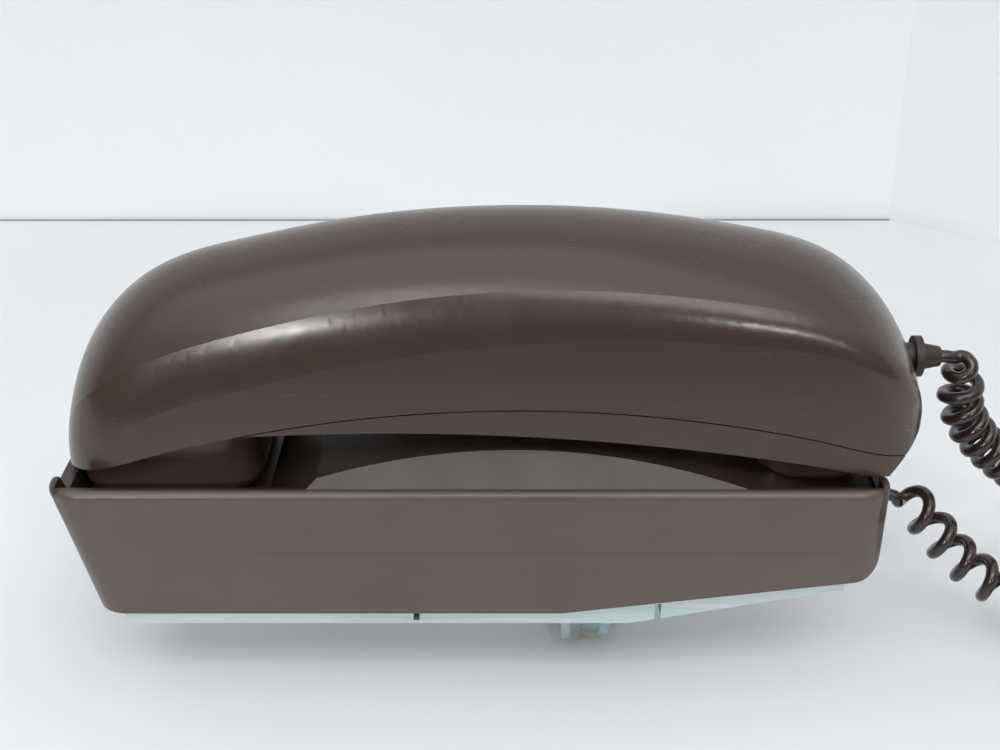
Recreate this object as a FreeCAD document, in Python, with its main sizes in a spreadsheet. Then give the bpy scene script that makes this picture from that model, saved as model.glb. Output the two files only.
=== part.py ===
"""Slimline wall phone, lying on its back: handset on its base, wall plate and plug underneath.

Millimetres. +X runs down the phone, from the ear end to the cord end. +Z points away from the wall.
The origin is on the wall face of the plate, midway between the two wall studs.
"""
import FreeCAD, Part
import math
import os
import re

from FreeCAD import Placement, Rotation, Vector

doc = FreeCAD.newDocument("wall_phone")

# Driving dimensions, each written once

SIZES = [
    # wall plate
    ("stud_spacing", 101.6, "between the two wall studs, 4 in"),
    ("stud_entry_radius", 4.9, "round entry of a keyhole"),
    ("stud_slot_width", 5.2, "narrow part of a keyhole"),
    ("stud_slot_travel", 7.0, "how far the phone slides down onto its studs"),
    ("plate_sheet", 1.5, "steel sheet of the wall plate"),
    ("plate_top_x", -120.6, "end of the plate at the ear end"),
    ("plate_bottom_x", 64.5, "end of the plate at the cord end"),
    ("plate_half", 31.1, "half the width of the plate"),
    ("plate_flange", 9.0, "height of the plate's turned edge"),
    ("plate_bend_x", 9.6, "where the plate turns up"),
    ("plate_slope", 10.6, "degrees that the plate rises from there"),
    ("land_length", 22.0, "pressed land round the lower stud"),
    ("land_half", 11.0, "half the width of that land"),
    ("land_flare", 3.0, "how far the land's sides spread"),
    # base housing
    ("base_top_x", -136.5, "rim of the base at the ear end"),
    ("base_bottom_x", 73.5, "cord end of the base"),
    ("base_top_rake", 8.9, "how far the ear end leans in at the back"),
    ("rim_height", 42.0, "rim of the base above the wall"),
    ("rim_half", 37.0, "half the width over the rim"),
    ("back_half", 34.0, "half the width at the back edge"),
    ("back_lift", 5.0, "back edge of the housing above the wall"),
    ("back_bend_x", -8.0, "where the housing's back edge turns up"),
    ("back_slope", 7.6, "degrees that the back edge rises from there"),
    ("base_corner", 8.0, "upright corners of the base"),
    ("base_heel", 8.0, "rounding of the lower back corner"),
    ("base_wall", 2.5, "wall of the base housing"),
    ("rim_round", 1.8, "rounding of the rim"),
    ("rim_land", 3.4, "width of the flat rim beside the wells"),
    ("ear_floor", 32.7, "floor of the ear well"),
    ("ear_well_x", -129.6, "ear well floor, outer end"),
    ("saddle_foot_x", -83.0, "foot of the saddle in the ear well"),
    ("saddle_start_x", -69.0, "top of the saddle's ramp"),
    ("saddle_apex_x", -20.0, "highest place of the saddle"),
    ("saddle_apex_z", 49.0, "height of the saddle"),
    ("saddle_radius", 240.0, "arch of the saddle"),
    ("saddle_half", 26.5, "half the width of the saddle's top"),
    ("saddle_skirt", 36.0, "half the width at the foot of the saddle's flanks"),
    ("saddle_skirt_z", 40.5, "height of that foot"),
    ("mouth_floor", 37.2, "floor of the mouth well"),
    ("end_dip", 38.0, "height of the end walls between the corners"),
    ("end_dip_half", 28.0, "half the width of that dip"),
    # handset outline
    ("crest_x", -19.0, "highest place of the handset"),
    ("crest_z", 101.6, "its height above the wall"),
    ("crest_radius", 290.0, "arch of the handset's back"),
    ("end_radius", 45.0, "rounding of both ends in side view"),
    ("handset_top_x", -134.8, "ear end of the handset"),
    ("handset_bottom_x", 84.0, "cord end of the handset"),
    ("handset_half", 29.5, "half the width of the handset"),
    ("handset_corner", 18.0, "corners of the handset seen from above"),
    ("handset_draft", 1.6, "how much narrower the shoulder is"),
    ("shoulder_share", 0.59, "shoulder height between seam and crest"),
    ("shoulder_lean", 0.0015, "how that share grows along the handset, per mm"),
    ("shoulder_round", 7.0, "rounding of the shoulder"),
    ("section_foot", 36.0, "level at which the handset's sections end"),
    ("seam_x", -19.0, "highest place of the seam"),
    ("seam_z", 60.9, "its height"),
    ("seam_radius", 330.0, "arch of the seam"),
    ("seam_gap", 0.35, "shadow gap between the two shells"),
    ("face_x", -50.0, "highest place of the face"),
    ("face_z", 54.6, "its height"),
    ("face_radius", 600.0, "arch of the face"),
    ("shell_wall", 2.6, "wall of the back shell"),
    ("face_wall", 2.2, "wall of the face shell"),
    ("shell_fit", 0.25, "clearance of the face inside the back shell"),
    ("heel_high_x", 85.0, "slanted cord end, upper point"),
    ("heel_high_z", 53.0, "its height"),
    ("heel_low_x", 73.8, "slanted cord end, lower point"),
    ("heel_low_z", 42.0, "its height"),
    # ear and mouth blocks
    ("ear_top_x", -131.0, "ear block, outer end"),
    ("ear_bottom_x", -84.6, "ear block, inner end"),
    ("ear_half", 25.0, "half the width of the ear block"),
    ("ear_corner", 12.0, "upright corners of the ear block"),
    ("ear_edge", 5.0, "rounding of its lower edge"),
    ("mouth_top_x", 41.0, "mouth block, inner end"),
    ("mouth_bottom_x", 69.4, "mouth block, outer end"),
    ("mouth_half", 23.0, "half the width of the mouth block"),
    ("mouth_corner", 9.0, "upright corners of the mouth block"),
    ("mouth_edge", 3.0, "rounding of its lower edge"),
    ("block_top", 52.5, "level at which both blocks join the face"),
    ("sound_hole", 1.0, "radius of a sound hole"),
    ("sound_ring", 5.2, "spacing of the rings of sound holes"),
    # keypad
    ("key_first_x", -50.0, "first row of keys"),
    ("key_pitch_x", 14.0, "between rows"),
    ("key_pitch_y", 16.0, "between columns"),
    ("key_length", 9.0, "key along the handset"),
    ("key_width", 11.0, "key across the handset"),
    ("key_corner", 1.6, "corners of a key"),
    ("key_stand", 2.0, "how far a key stands out of the face"),
    ("key_gap", 0.3, "clearance round a key"),
    ("key_lip", 1.2, "lip that holds a key in"),
    ("key_travel", 1.5, "travel of a key"),
    ("key_top", 58.3, "upper end of the key stems"),
    ("mat_z", 60.1, "underside of the rubber mat"),
    ("mat_thick", 0.9, "rubber mat"),
    ("recall_x", 10.5, "recall button"),
    ("recall_length", 7.0, "recall button along the handset"),
    ("recall_width", 20.0, "recall button across the handset"),
    ("pad_board_thick", 1.6, "keypad board"),
    ("pad_board_half", 24.0, "half the width of the keypad board"),
    ("pad_board_margin", 10.5, "keypad board beyond the outer buttons"),
    ("card_x", -68.0, "number card"),
    ("card_length", 9.0, "number card along the handset"),
    ("card_width", 34.0, "number card across the handset"),
    ("card_thick", 0.3, "number card"),
    ("window_thick", 0.8, "clear window over the card"),
    # capsules and screws of the handset
    ("receiver_x", -107.8, "centre of the receiver"),
    ("receiver_radius", 17.0, "receiver capsule"),
    ("receiver_height", 11.0, "receiver capsule"),
    ("ring_wall", 2.0, "rubber ring round the receiver"),
    ("ring_height", 3.0, "rubber ring round the receiver"),
    ("transmitter_x", 57.5, "centre of the transmitter"),
    ("transmitter_radius", 9.0, "transmitter capsule"),
    ("transmitter_height", 6.5, "transmitter capsule"),
    ("rest_gap", 0.3, "gap under the handset where it rests in the base"),
    ("seat_gap", 0.2, "gap under a piece that rests in its seat"),
    ("shell_screw_x", 34.0, "pair of handset screws near the mouth"),
    ("shell_screw_y", 18.0, "half their spacing"),
    ("shell_screw_top_x", -79.0, "single handset screw near the ear"),
    ("shell_screw_radius", 1.5, "shank of a handset screw"),
    ("shell_screw_head", 3.0, "head of a handset screw"),
    ("shell_boss", 3.6, "boss for a handset screw"),
    ("shell_screw_length", 14.0, "handset screw"),
    # hook
    ("hook_x", 24.5, "hook plunger"),
    ("hook_radius", 2.5, "hook plunger"),
    ("hook_fit", 0.1, "running clearance of the plunger, and of the lever at least"),
    ("hook_travel", 4.0, "travel of the plunger"),
    ("hook_foot_z", 23.7, "foot of the plunger"),
    ("hook_collar_radius", 4.2, "collar of the plunger"),
    ("hook_collar_z", 34.0, "underside of the collar"),
    ("hook_collar_thick", 1.5, "collar of the plunger"),
    ("switch_length", 22.0, "hook switch frame"),
    ("switch_half", 17.0, "half the width of its ears"),
    ("switch_body_half", 8.0, "half the width of its body"),
    ("switch_z", 26.0, "underside of the switch frame"),
    ("switch_thick", 2.4, "plate of the switch frame"),
    ("leaf_thick", 0.5, "contact leaf"),
    ("leaf_width", 3.0, "contact leaf"),
    # ringer
    ("gong_x", -22.0, "centre of the gong"),
    ("gong_radius", 18.0, "gong"),
    ("gong_z", 31.0, "rim of the gong"),
    ("gong_height", 11.0, "gong"),
    ("gong_wall", 1.2, "gong"),
    ("coil_x", -33.0, "ringer coil"),
    ("coil_z", 14.0, "axis of the ringer coil"),
    ("coil_radius", 8.0, "ringer coil"),
    ("coil_length", 21.0, "ringer coil"),
    ("core_radius", 2.8, "core of the coil"),
    ("ringer_ear", 2.0, "upright ears of the ringer frame"),
    ("ringer_bridge_z", 23.0, "bridge of the ringer frame"),
    ("clapper_pin", 1.5, "pivot pin of the clapper"),
    ("clapper_fit", 0.06, "running clearance of the clapper"),
    ("clapper_ball", 2.3, "ball of the clapper"),
    ("clapper_gap", 1.9, "rest gap between ball and gong"),
    # network
    ("board_x", -93.0, "centre of the network board"),
    ("board_length", 52.0, "network board"),
    ("board_half", 21.0, "half the width of the network board"),
    ("board_z", 13.0, "underside of the network board"),
    ("board_thick", 1.6, "network board"),
    ("board_screw_inset", 5.0, "board screws from the board's edges"),
    ("board_boss", 3.4, "boss for a board screw"),
    ("board_screw", 1.4, "shank of a board screw"),
    # volume lever
    ("lever_x", -31.0, "ringer volume lever"),
    ("lever_z", 25.0, "ringer volume lever"),
    ("lever_travel", 3.0, "travel each way"),
    ("lever_knob", 5.0, "lever along the phone"),
    ("lever_height", 4.0, "lever, wall to front"),
    ("lever_proud", 1.8, "how far the lever stands out"),
    ("lever_lip", 2.5, "lip of the lever behind the wall"),
    ("lever_slack", 0.5, "slack between that lip and the leaning wall"),
    # plug
    ("carrier_length", 13.6, "plug carrier along the phone"),
    ("carrier_width", 19.0, "plug carrier across the phone"),
    ("carrier_nose", -20.6, "end of the plug carrier"),
    ("carrier_top", 11.0, "inner end of the plug carrier"),
    ("carrier_flange", 2.6, "how far its flange spreads"),
    ("plug_width", 11.7, "modular plug across the phone"),
    ("plug_depth", 8.0, "modular plug along the phone"),
    ("plug_tip", -23.0, "tip of the plug"),
    ("plug_length", 15.0, "length of the plug body"),
    ("plug_fit", 0.15, "plug in its carrier"),
    ("contact_pitch", 1.02, "between plug contacts"),
    # plate screws
    ("plate_screw_top_x", -113.0, "upper pair of plate screws"),
    ("plate_screw_low_x", -5.0, "lower pair of plate screws"),
    ("plate_screw_y", 25.5, "half their spacing"),
    ("plate_screw_radius", 1.5, "shank of a plate screw"),
    ("plate_screw_head", 3.1, "countersunk head"),
    ("plate_boss", 3.6, "boss for a plate screw"),
    ("plate_screw_length", 9.0, "plate screw"),
    # cord
    ("cord_radius", 1.7, "half the cord's thickness"),
    ("curl_radius", 4.5, "centre line of a curl"),
    ("curl_pitch", 4.8, "closed curls, centre to centre"),
    ("curl_pitch_loop", 6.4, "curls in the loop that lies on the table"),
    ("curl_pitch_open", 8.2, "curls that are pulled open near the base"),
    ("exit_z", 62.0, "cord exit of the handset"),
    ("base_exit_z", 20.6, "cord exit of the base"),
    ("grommet_shaft", 3.6, "shaft of a grommet"),
    ("grommet_flange", 5.4, "flange of a grommet"),
    ("grommet_fit", 0.1, "grommet in its hole"),
    ("table_z", -23.0, "surface that the phone lies on"),
]

sheet = doc.addObject("Spreadsheet::Sheet", "Sizes")
for row, (alias, number, words) in enumerate(SIZES, start=1):
    sheet.set("A%d" % row, words)
    sheet.set("B%d" % row, repr(number))
    sheet.setAlias("B%d" % row, alias)
doc.recompute()

ALIASES = {alias for alias, number, words in SIZES}


def size(alias):
    """The value of one driving dimension, read from the sheet."""
    return float(sheet.get(alias))


def bind(obj, prop, words):
    """Tie one property to a formula of driving dimensions, written with their bare names."""
    formula = re.sub(r"[a-z][a-z_0-9]*", lambda m: "Sizes." + m[0] if m[0] in ALIASES else m[0], str(words))
    obj.setExpression(prop, formula)


def place(obj, x, y, z):
    """Tie an object's position to formulas."""
    bind(obj, ".Placement.Base.x", x)
    bind(obj, ".Placement.Base.y", y)
    bind(obj, ".Placement.Base.z", z)


# Primitives, booleans and features made by formula

ALONG = {
    "x": Rotation(Vector(0, 1, 0), 90),
    "y": Rotation(Vector(1, 0, 0), -90),
    "z": Rotation(),
}


def box(name, length, width, height, x, y, z):
    """A block centred on x and y that stands on z."""
    obj = doc.addObject("Part::Box", name)
    bind(obj, "Length", length)
    bind(obj, "Width", width)
    bind(obj, "Height", height)
    place(obj, "(%s) - (%s) / 2" % (x, length), "(%s) - (%s) / 2" % (y, width), z)
    return obj


def rod(name, radius, height, x, y, z, along="z"):
    """A cylinder from (x, y, z) along an axis."""
    obj = doc.addObject("Part::Cylinder", name)
    obj.Placement = Placement(Vector(), ALONG[along])
    bind(obj, "Radius", radius)
    bind(obj, "Height", height)
    place(obj, x, y, z)
    return obj


def taper(name, radius1, radius2, height, x, y, z, along="z"):
    """A cone from (x, y, z) along an axis."""
    obj = doc.addObject("Part::Cone", name)
    obj.Placement = Placement(Vector(), ALONG[along])
    bind(obj, "Radius1", radius1)
    bind(obj, "Radius2", radius2)
    bind(obj, "Height", height)
    place(obj, x, y, z)
    return obj


def ball(name, radius, x, y, z):
    obj = doc.addObject("Part::Sphere", name)
    bind(obj, "Radius", radius)
    place(obj, x, y, z)
    return obj


def made(name, shape):
    """A feature whose shape a formula gives."""
    obj = doc.addObject("Part::Feature", name)
    obj.Shape = shape
    return obj


def join(name, parts):
    obj = doc.addObject("Part::MultiFuse", name)
    obj.Shapes = parts
    return obj


def shared(name, parts):
    obj = doc.addObject("Part::MultiCommon", name)
    obj.Shapes = parts
    return obj


def cut(name, base, tools, refine=True):
    """The base less every tool."""
    obj = doc.addObject("Part::Cut", name)
    obj.Refine = refine
    obj.Base = base
    obj.Tool = tools[0] if len(tools) == 1 else join(name + "_tools", tools)
    return obj


NODES = []


def node(label, obj):
    """Give a finished sub-part its name."""
    obj.Label = label
    NODES.append((label, obj))
    return obj


def group(label, parts):
    """Identical small pieces that share one name, as separate solids."""
    obj = doc.addObject("Part::Compound", label)
    obj.Links = parts
    return node(label, obj)


# Outlines

def at_xz(x, z):
    return Vector(x, 0, z)


def polyline(points):
    """A closed outline of straight edges."""
    return Part.makePolygon(points + [points[0]])


def outline(pieces):
    """A closed outline: each piece is a list of two points, or of three for an arc through them."""
    edges = []
    for piece in pieces:
        if len(piece) == 2:
            edges.append(Part.LineSegment(piece[0], piece[1]).toShape())
        else:
            edges.append(Part.Arc(piece[0], piece[1], piece[2]).toShape())
    return Part.Wire(edges)


def across(wire, half):
    """A side outline made solid across the phone."""
    face = Part.Face(wire)
    face.translate(Vector(0, -half, 0))
    return face.extrude(Vector(0, 2 * half, 0))


def rounded_rect(x0, x1, half, z, corner):
    """A level rectangle with round corners."""
    c = corner
    k = corner * (1 - math.sqrt(0.5))
    p = lambda x, y: Vector(x, y, z)
    return outline([
        [p(x0 + c, -half), p(x1 - c, -half)],
        [p(x1 - c, -half), p(x1 - k, -half + k), p(x1, -half + c)],
        [p(x1, -half + c), p(x1, half - c)],
        [p(x1, half - c), p(x1 - k, half - k), p(x1 - c, half)],
        [p(x1 - c, half), p(x0 + c, half)],
        [p(x0 + c, half), p(x0 + k, half - k), p(x0, half - c)],
        [p(x0, half - c), p(x0, -half + c)],
        [p(x0, -half + c), p(x0 + k, -half + k), p(x0 + c, -half)],
    ])


def rounded_block(x0, x1, half, z0, z1, corner, edge=0.0):
    """An upright block with round corners and, if asked, a rounded lower edge."""
    block = Part.Face(rounded_rect(x0, x1, half, z0, corner)).extrude(Vector(0, 0, z1 - z0))
    if edge:
        lower = [e for e in block.Edges if max(v.Z for v in e.Vertexes) < z0 + 0.01]
        block = block.makeFillet(edge, lower)
    return block


# Arches of the base and the handset

def arch(x, top_x, top_z, radius):
    """Height of an arch with its highest place at (top_x, top_z)."""
    return top_z - radius + math.sqrt(radius ** 2 - (x - top_x) ** 2)


def seam(x):
    return arch(x, size("seam_x"), size("seam_z"), size("seam_radius"))


def face_level(x):
    return arch(x, size("face_x"), size("face_z"), size("face_radius"))


def bed_level(x):
    return arch(x, size("saddle_apex_x"), size("saddle_apex_z"), size("saddle_radius"))


def ear_level():
    """Lowest face of the ear block, which rests in the ear well."""
    return size("ear_floor") + size("rest_gap")


def mouth_level(x):
    """Underside of the mouth block, which follows the bed below it."""
    return max(size("mouth_floor"), bed_level(x)) + size("rest_gap")


FAR = 160.0
HIGH = 140.0
LOW = -60.0


def arch_side(level, shift, limit):
    """Everything between an arch, moved by shift, and a level above or below it."""
    left = -FAR
    right = FAR - 50
    middle = (left + right) / 2
    return across(outline([
        [at_xz(left, level(left) + shift), at_xz(middle, level(middle) + shift), at_xz(right, level(right) + shift)],
        [at_xz(right, level(right) + shift), at_xz(right, limit)],
        [at_xz(right, limit), at_xz(left, limit)],
        [at_xz(left, limit), at_xz(left, level(left) + shift)],
    ]), FAR / 2)


# Handset form: sections across the handset, lofted along it

def crest(x, inset):
    """Height of the handset's back on its centre line."""
    top_x = size("crest_x")
    radius = size("crest_radius")
    small = size("end_radius")
    centre_z = size("crest_z") - radius
    for end_x, way in ((size("handset_top_x"), 1), (size("handset_bottom_x"), -1)):
        small_x = end_x + way * small
        small_z = centre_z + math.sqrt((radius - small) ** 2 - (small_x - top_x) ** 2)
        touch_x = top_x + (small_x - top_x) * (radius - inset) / (radius - small)
        if (x - touch_x) * way < 0:
            return small_z + math.sqrt(max((small - inset) ** 2 - (x - small_x) ** 2, 0.0))
    return centre_z + math.sqrt((radius - inset) ** 2 - (x - top_x) ** 2)


def half_width(x, inset):
    """Half the handset's width, with its rounded corners seen from above."""
    corner = size("handset_corner") - inset
    side = size("handset_half") - inset
    depth = min(x - size("handset_top_x"), size("handset_bottom_x") - x) - inset
    if depth >= corner:
        return side
    return side - corner + math.sqrt(corner ** 2 - (corner - max(depth, 0.0)) ** 2)


def section(x, inset):
    """One section of the handset: level foot, drafted sides, rounded shoulders and a crown."""
    foot = size("section_foot")
    top = crest(x, inset)
    share = size("shoulder_share") + size("shoulder_lean") * (x - size("crest_x"))
    shoulder_z = seam(x) + (top - seam(x)) * share
    wide = half_width(x, inset)
    shoulder_y = wide - size("handset_draft") * wide / size("handset_half")
    rise = top - shoulder_z
    radius = (shoulder_y ** 2 + rise ** 2) / (2 * rise)
    reach = min(size("shoulder_round"), 0.4 * rise, 0.45 * (shoulder_z - foot))

    shoulder = Vector(x, shoulder_y, shoulder_z)
    foot_point = Vector(x, wide, foot)
    down = (foot_point - shoulder).normalize()
    low = shoulder + down * reach
    angle = math.asin(shoulder_y / radius) - reach / radius
    high = Vector(x, radius * math.sin(angle), top - radius + radius * math.cos(angle))
    turn = (shoulder - low).getAngle(high - shoulder)
    middle = (low + high) * 0.5
    bulge = shoulder + (middle - shoulder) * (math.tan(turn / 4) / math.sin(turn / 2))

    mirror = lambda p: Vector(p.x, -p.y, p.z)
    crown = Vector(x, 0, top)
    return outline([
        [mirror(foot_point), foot_point],
        [foot_point, low],
        [low, bulge, high],
        [high, crown, mirror(high)],
        [mirror(high), mirror(bulge), mirror(low)],
        [mirror(low), mirror(foot_point)],
    ])


# Share of the corner radius at which the end sections stand, closest at the end itself
END_STEPS = (0.0, 0.05, 0.19, 0.45, 0.85, 1.5, 2.4)
MIDDLE_SECTIONS = 3


def handset_form(inset):
    """The handset's outer form, or the same form set in by a wall."""
    corner = size("handset_corner")
    first = size("handset_top_x") + inset
    last = size("handset_bottom_x") - inset
    stations = [first + corner * step for step in END_STEPS]
    far_end = [last - corner * step for step in reversed(END_STEPS)]
    gap = (far_end[0] - stations[-1]) / (MIDDLE_SECTIONS + 1)
    stations += [stations[-1] + gap * (i + 1) for i in range(MIDDLE_SECTIONS)]
    stations += far_end
    form = Part.makeLoft([section(x, inset) for x in stations], True, False)
    slant = inset * 1.4
    high = at_xz(size("heel_high_x") - slant, size("heel_high_z"))
    low = at_xz(size("heel_low_x") - slant, size("heel_low_z"))
    run = high - low
    heel = polyline([high + run, low - run, at_xz(high.x + FAR, low.z - run.z), at_xz(high.x + FAR, high.z + run.z)])
    return form.cut(across(heel, FAR / 2))


# Base housing

def base_side_outline():
    """The base seen from the side: sloped back at the cord end, with a rounded heel."""
    slope = math.radians(size("back_slope"))
    back = size("back_lift")
    bend = size("back_bend_x")
    end = size("base_bottom_x")
    heel = size("base_heel")
    corner_z = back + (end - bend) * math.tan(slope)
    reach = heel * math.tan((math.pi / 2 - slope) / 2)
    on_back = at_xz(end - reach * math.cos(slope), corner_z - reach * math.sin(slope))
    on_end = at_xz(end, corner_z + reach)
    centre = at_xz(end - heel, corner_z + reach)
    out = (at_xz(end, corner_z) - centre).normalize()
    return outline([
        [at_xz(-FAR, back), at_xz(bend, back)],
        [at_xz(bend, back), on_back],
        [on_back, centre + out * heel, on_end],
        [on_end, at_xz(end, HIGH)],
        [at_xz(end, HIGH), at_xz(-FAR, HIGH)],
        [at_xz(-FAR, HIGH), at_xz(-FAR, back)],
    ])


def tray_form(inset, z0, z1):
    """The drafted tray between two levels, set in by a wall."""
    rim = size("rim_height")
    back = size("back_lift")

    def rect(z):
        share = (z - back) / (rim - back)
        half = size("back_half") + (size("rim_half") - size("back_half")) * share
        start = size("base_top_x") + size("base_top_rake") * (1 - share)
        return rounded_rect(start + inset, size("base_bottom_x") - inset, half - inset, z, size("base_corner") - inset)

    return Part.makeLoft([rect(z0), rect(z1)], True, True)


def bed_outline(drop):
    """What lies above the bed that the handset rests in, moved down by drop."""
    floor = size("ear_floor") - drop
    mouth = size("mouth_floor") - drop
    level = lambda x: bed_level(x) - drop
    start = size("saddle_start_x")
    top_x = size("saddle_apex_x")
    fall = math.sqrt(size("saddle_radius") ** 2 - (mouth + drop - size("saddle_apex_z") + size("saddle_radius")) ** 2)
    meet = top_x + fall
    end = size("base_bottom_x") - size("base_wall")
    well = size("ear_well_x")
    lean = size("base_top_x") + size("rim_land") - 0.6
    middle = (start + meet) / 2
    return outline([
        [at_xz(lean, HIGH), at_xz(lean, size("rim_height"))],
        [at_xz(lean, size("rim_height")), at_xz(well, floor)],
        [at_xz(well, floor), at_xz(size("saddle_foot_x"), floor)],
        [at_xz(size("saddle_foot_x"), floor), at_xz(start, level(start))],
        [at_xz(start, level(start)), at_xz(middle, level(middle)), at_xz(meet, mouth)],
        [at_xz(meet, mouth), at_xz(end, mouth)],
        [at_xz(end, mouth), at_xz(end, HIGH)],
        [at_xz(end, HIGH), at_xz(lean, HIGH)],
    ])


def mouth_space(rise):
    """What lies above the mouth end of the bed, raised by a clearance, as far as the handset reaches."""
    x0 = size("saddle_apex_x")
    level = size("mouth_floor") - size("saddle_apex_z") + size("saddle_radius")
    x1 = x0 + math.sqrt(size("saddle_radius") ** 2 - level ** 2)
    middle = (x0 + x1) / 2
    floor = size("mouth_floor") + rise
    return across(outline([
        [at_xz(x0, HIGH), at_xz(x0, bed_level(x0) + rise)],
        [at_xz(x0, bed_level(x0) + rise), at_xz(middle, bed_level(middle) + rise), at_xz(x1, floor)],
        [at_xz(x1, floor), at_xz(FAR, floor)],
        [at_xz(FAR, floor), at_xz(FAR, HIGH)],
        [at_xz(FAR, HIGH), at_xz(x0, HIGH)],
    ]), FAR / 2)


def saddle_form(inset):
    """The raised middle of the base that follows the handset's hollow face."""
    skirt = size("saddle_skirt") - inset
    skirt_z = size("saddle_skirt_z")
    half = size("saddle_half") - inset / 2
    top = size("saddle_apex_z") + 0.5 - inset
    foot = size("ear_floor") - 8
    x0 = size("saddle_foot_x") - 2
    points = [(-skirt, foot), (-skirt, skirt_z - inset), (-half, top), (half, top), (skirt, skirt_z - inset), (skirt, foot)]
    wire = polyline([Vector(x0, y, z) for y, z in points])
    ridge = Part.Face(wire).extrude(Vector(size("base_bottom_x") - 12 - x0, 0, 0))
    above = across(bed_outline(inset), FAR / 2)
    return ridge.cut(above)


def base_housing():
    wall = size("base_wall")
    rim = size("rim_height")
    tray = tray_form(0, size("back_lift"), rim)
    rim_edges = [e for e in tray.Edges if min(v.Z for v in e.Vertexes) > rim - 0.01]
    tray = tray.makeFillet(size("rim_round"), rim_edges)
    outside = made("base_outside", tray.common(across(base_side_outline(), FAR / 2)))
    well = made("bed_space", across(bed_outline(0), size("rim_half") - size("rim_land")))
    saddle = made("saddle", saddle_form(0))
    dips = box("end_dips", "base_bottom_x - base_top_x + 40", "2 * end_dip_half", "60", "(base_bottom_x + base_top_x) / 2",
               "0", "end_dip")
    dish = cut("base_dish", outside, [well, dips])
    body = join("base_body", [dish, saddle])

    ceiling = size("ear_floor") - wall
    low = made("base_room", tray_form(wall, size("back_lift") - 2, ceiling))
    arch_room = made("saddle_room", saddle_form(wall).cut(Part.makeBox(
        FAR, FAR, FAR, Vector(size("base_bottom_x") - 22, -FAR / 2, LOW))))
    bosses = []
    for i, (x, y) in enumerate(plate_screw_places()):
        bosses.append(rod("plate_boss_%d" % i, "plate_boss", HIGH, x, y, "plate_sheet + seat_gap"))
    for i, (x, y) in enumerate(board_screw_places()):
        bosses.append(rod("board_boss_%d" % i, "board_boss", HIGH, x, y, "board_z + board_thick"))
    for i, side in enumerate((-1, 1)):
        bosses.append(rod("switch_boss_%d" % i, 3.0, HIGH, "hook_x", "%d * (switch_half - 3.4)" % side,
                          "switch_z + switch_thick"))
    shell = cut("base_shell", body, [low, arch_room])
    kept = shared("base_bosses", [join("base_boss_rods", bosses), body])
    pilots = []
    for i, (x, y) in enumerate(plate_screw_places()):
        pilots.append(rod("plate_pilot_%d" % i, "plate_screw_radius + 0.1", "plate_screw_length", x, y, "plate_sheet"))
    for i, (x, y) in enumerate(board_screw_places()):
        pilots.append(rod("board_pilot_%d" % i, "board_screw + 0.1", 7, x, y, "board_z"))
    openings = [
        rod("plunger_bore", "hook_radius + hook_fit", 30, "hook_x", 0, "mouth_floor"),
        rod("base_cord_hole", "grommet_shaft + grommet_fit", 20, "base_bottom_x - 10", 0, "base_exit_z", "x"),
        box("lever_slot", "lever_knob + 2 * lever_travel + 1", 12, "lever_height + 0.8", "lever_x", "rim_half",
            "lever_z - lever_height / 2 - 0.4"),
    ]
    return node("base_housing", cut("housing", join("housing_solid", [shell, kept]), pilots + openings))


def plate_screw_places():
    return [(x, "%d * plate_screw_y" % side) for x in ("plate_screw_top_x", "plate_screw_low_x") for side in (-1, 1)]


def board_screw_places():
    places = []
    for end in (-1, 1):
        for side in (-1, 1):
            places.append(("board_x + %d * (board_length / 2 - board_screw_inset)" % end,
                           "%d * (board_half - board_screw_inset)" % side))
    return places


# Wall plate

def plate_sheet_side(shift, rise, trim):
    """Side outline of the bent pan between two offsets of its back."""
    slope = math.tan(math.radians(size("plate_slope")))
    x0 = size("plate_top_x") + trim
    x1 = size("plate_bottom_x") - trim
    bend = size("plate_bend_x")
    end = (x1 - bend) * slope
    return polyline([at_xz(x0, shift), at_xz(bend, shift), at_xz(x1, end + shift), at_xz(x1, end + rise),
                     at_xz(bend, rise), at_xz(x0, rise)])


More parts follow.
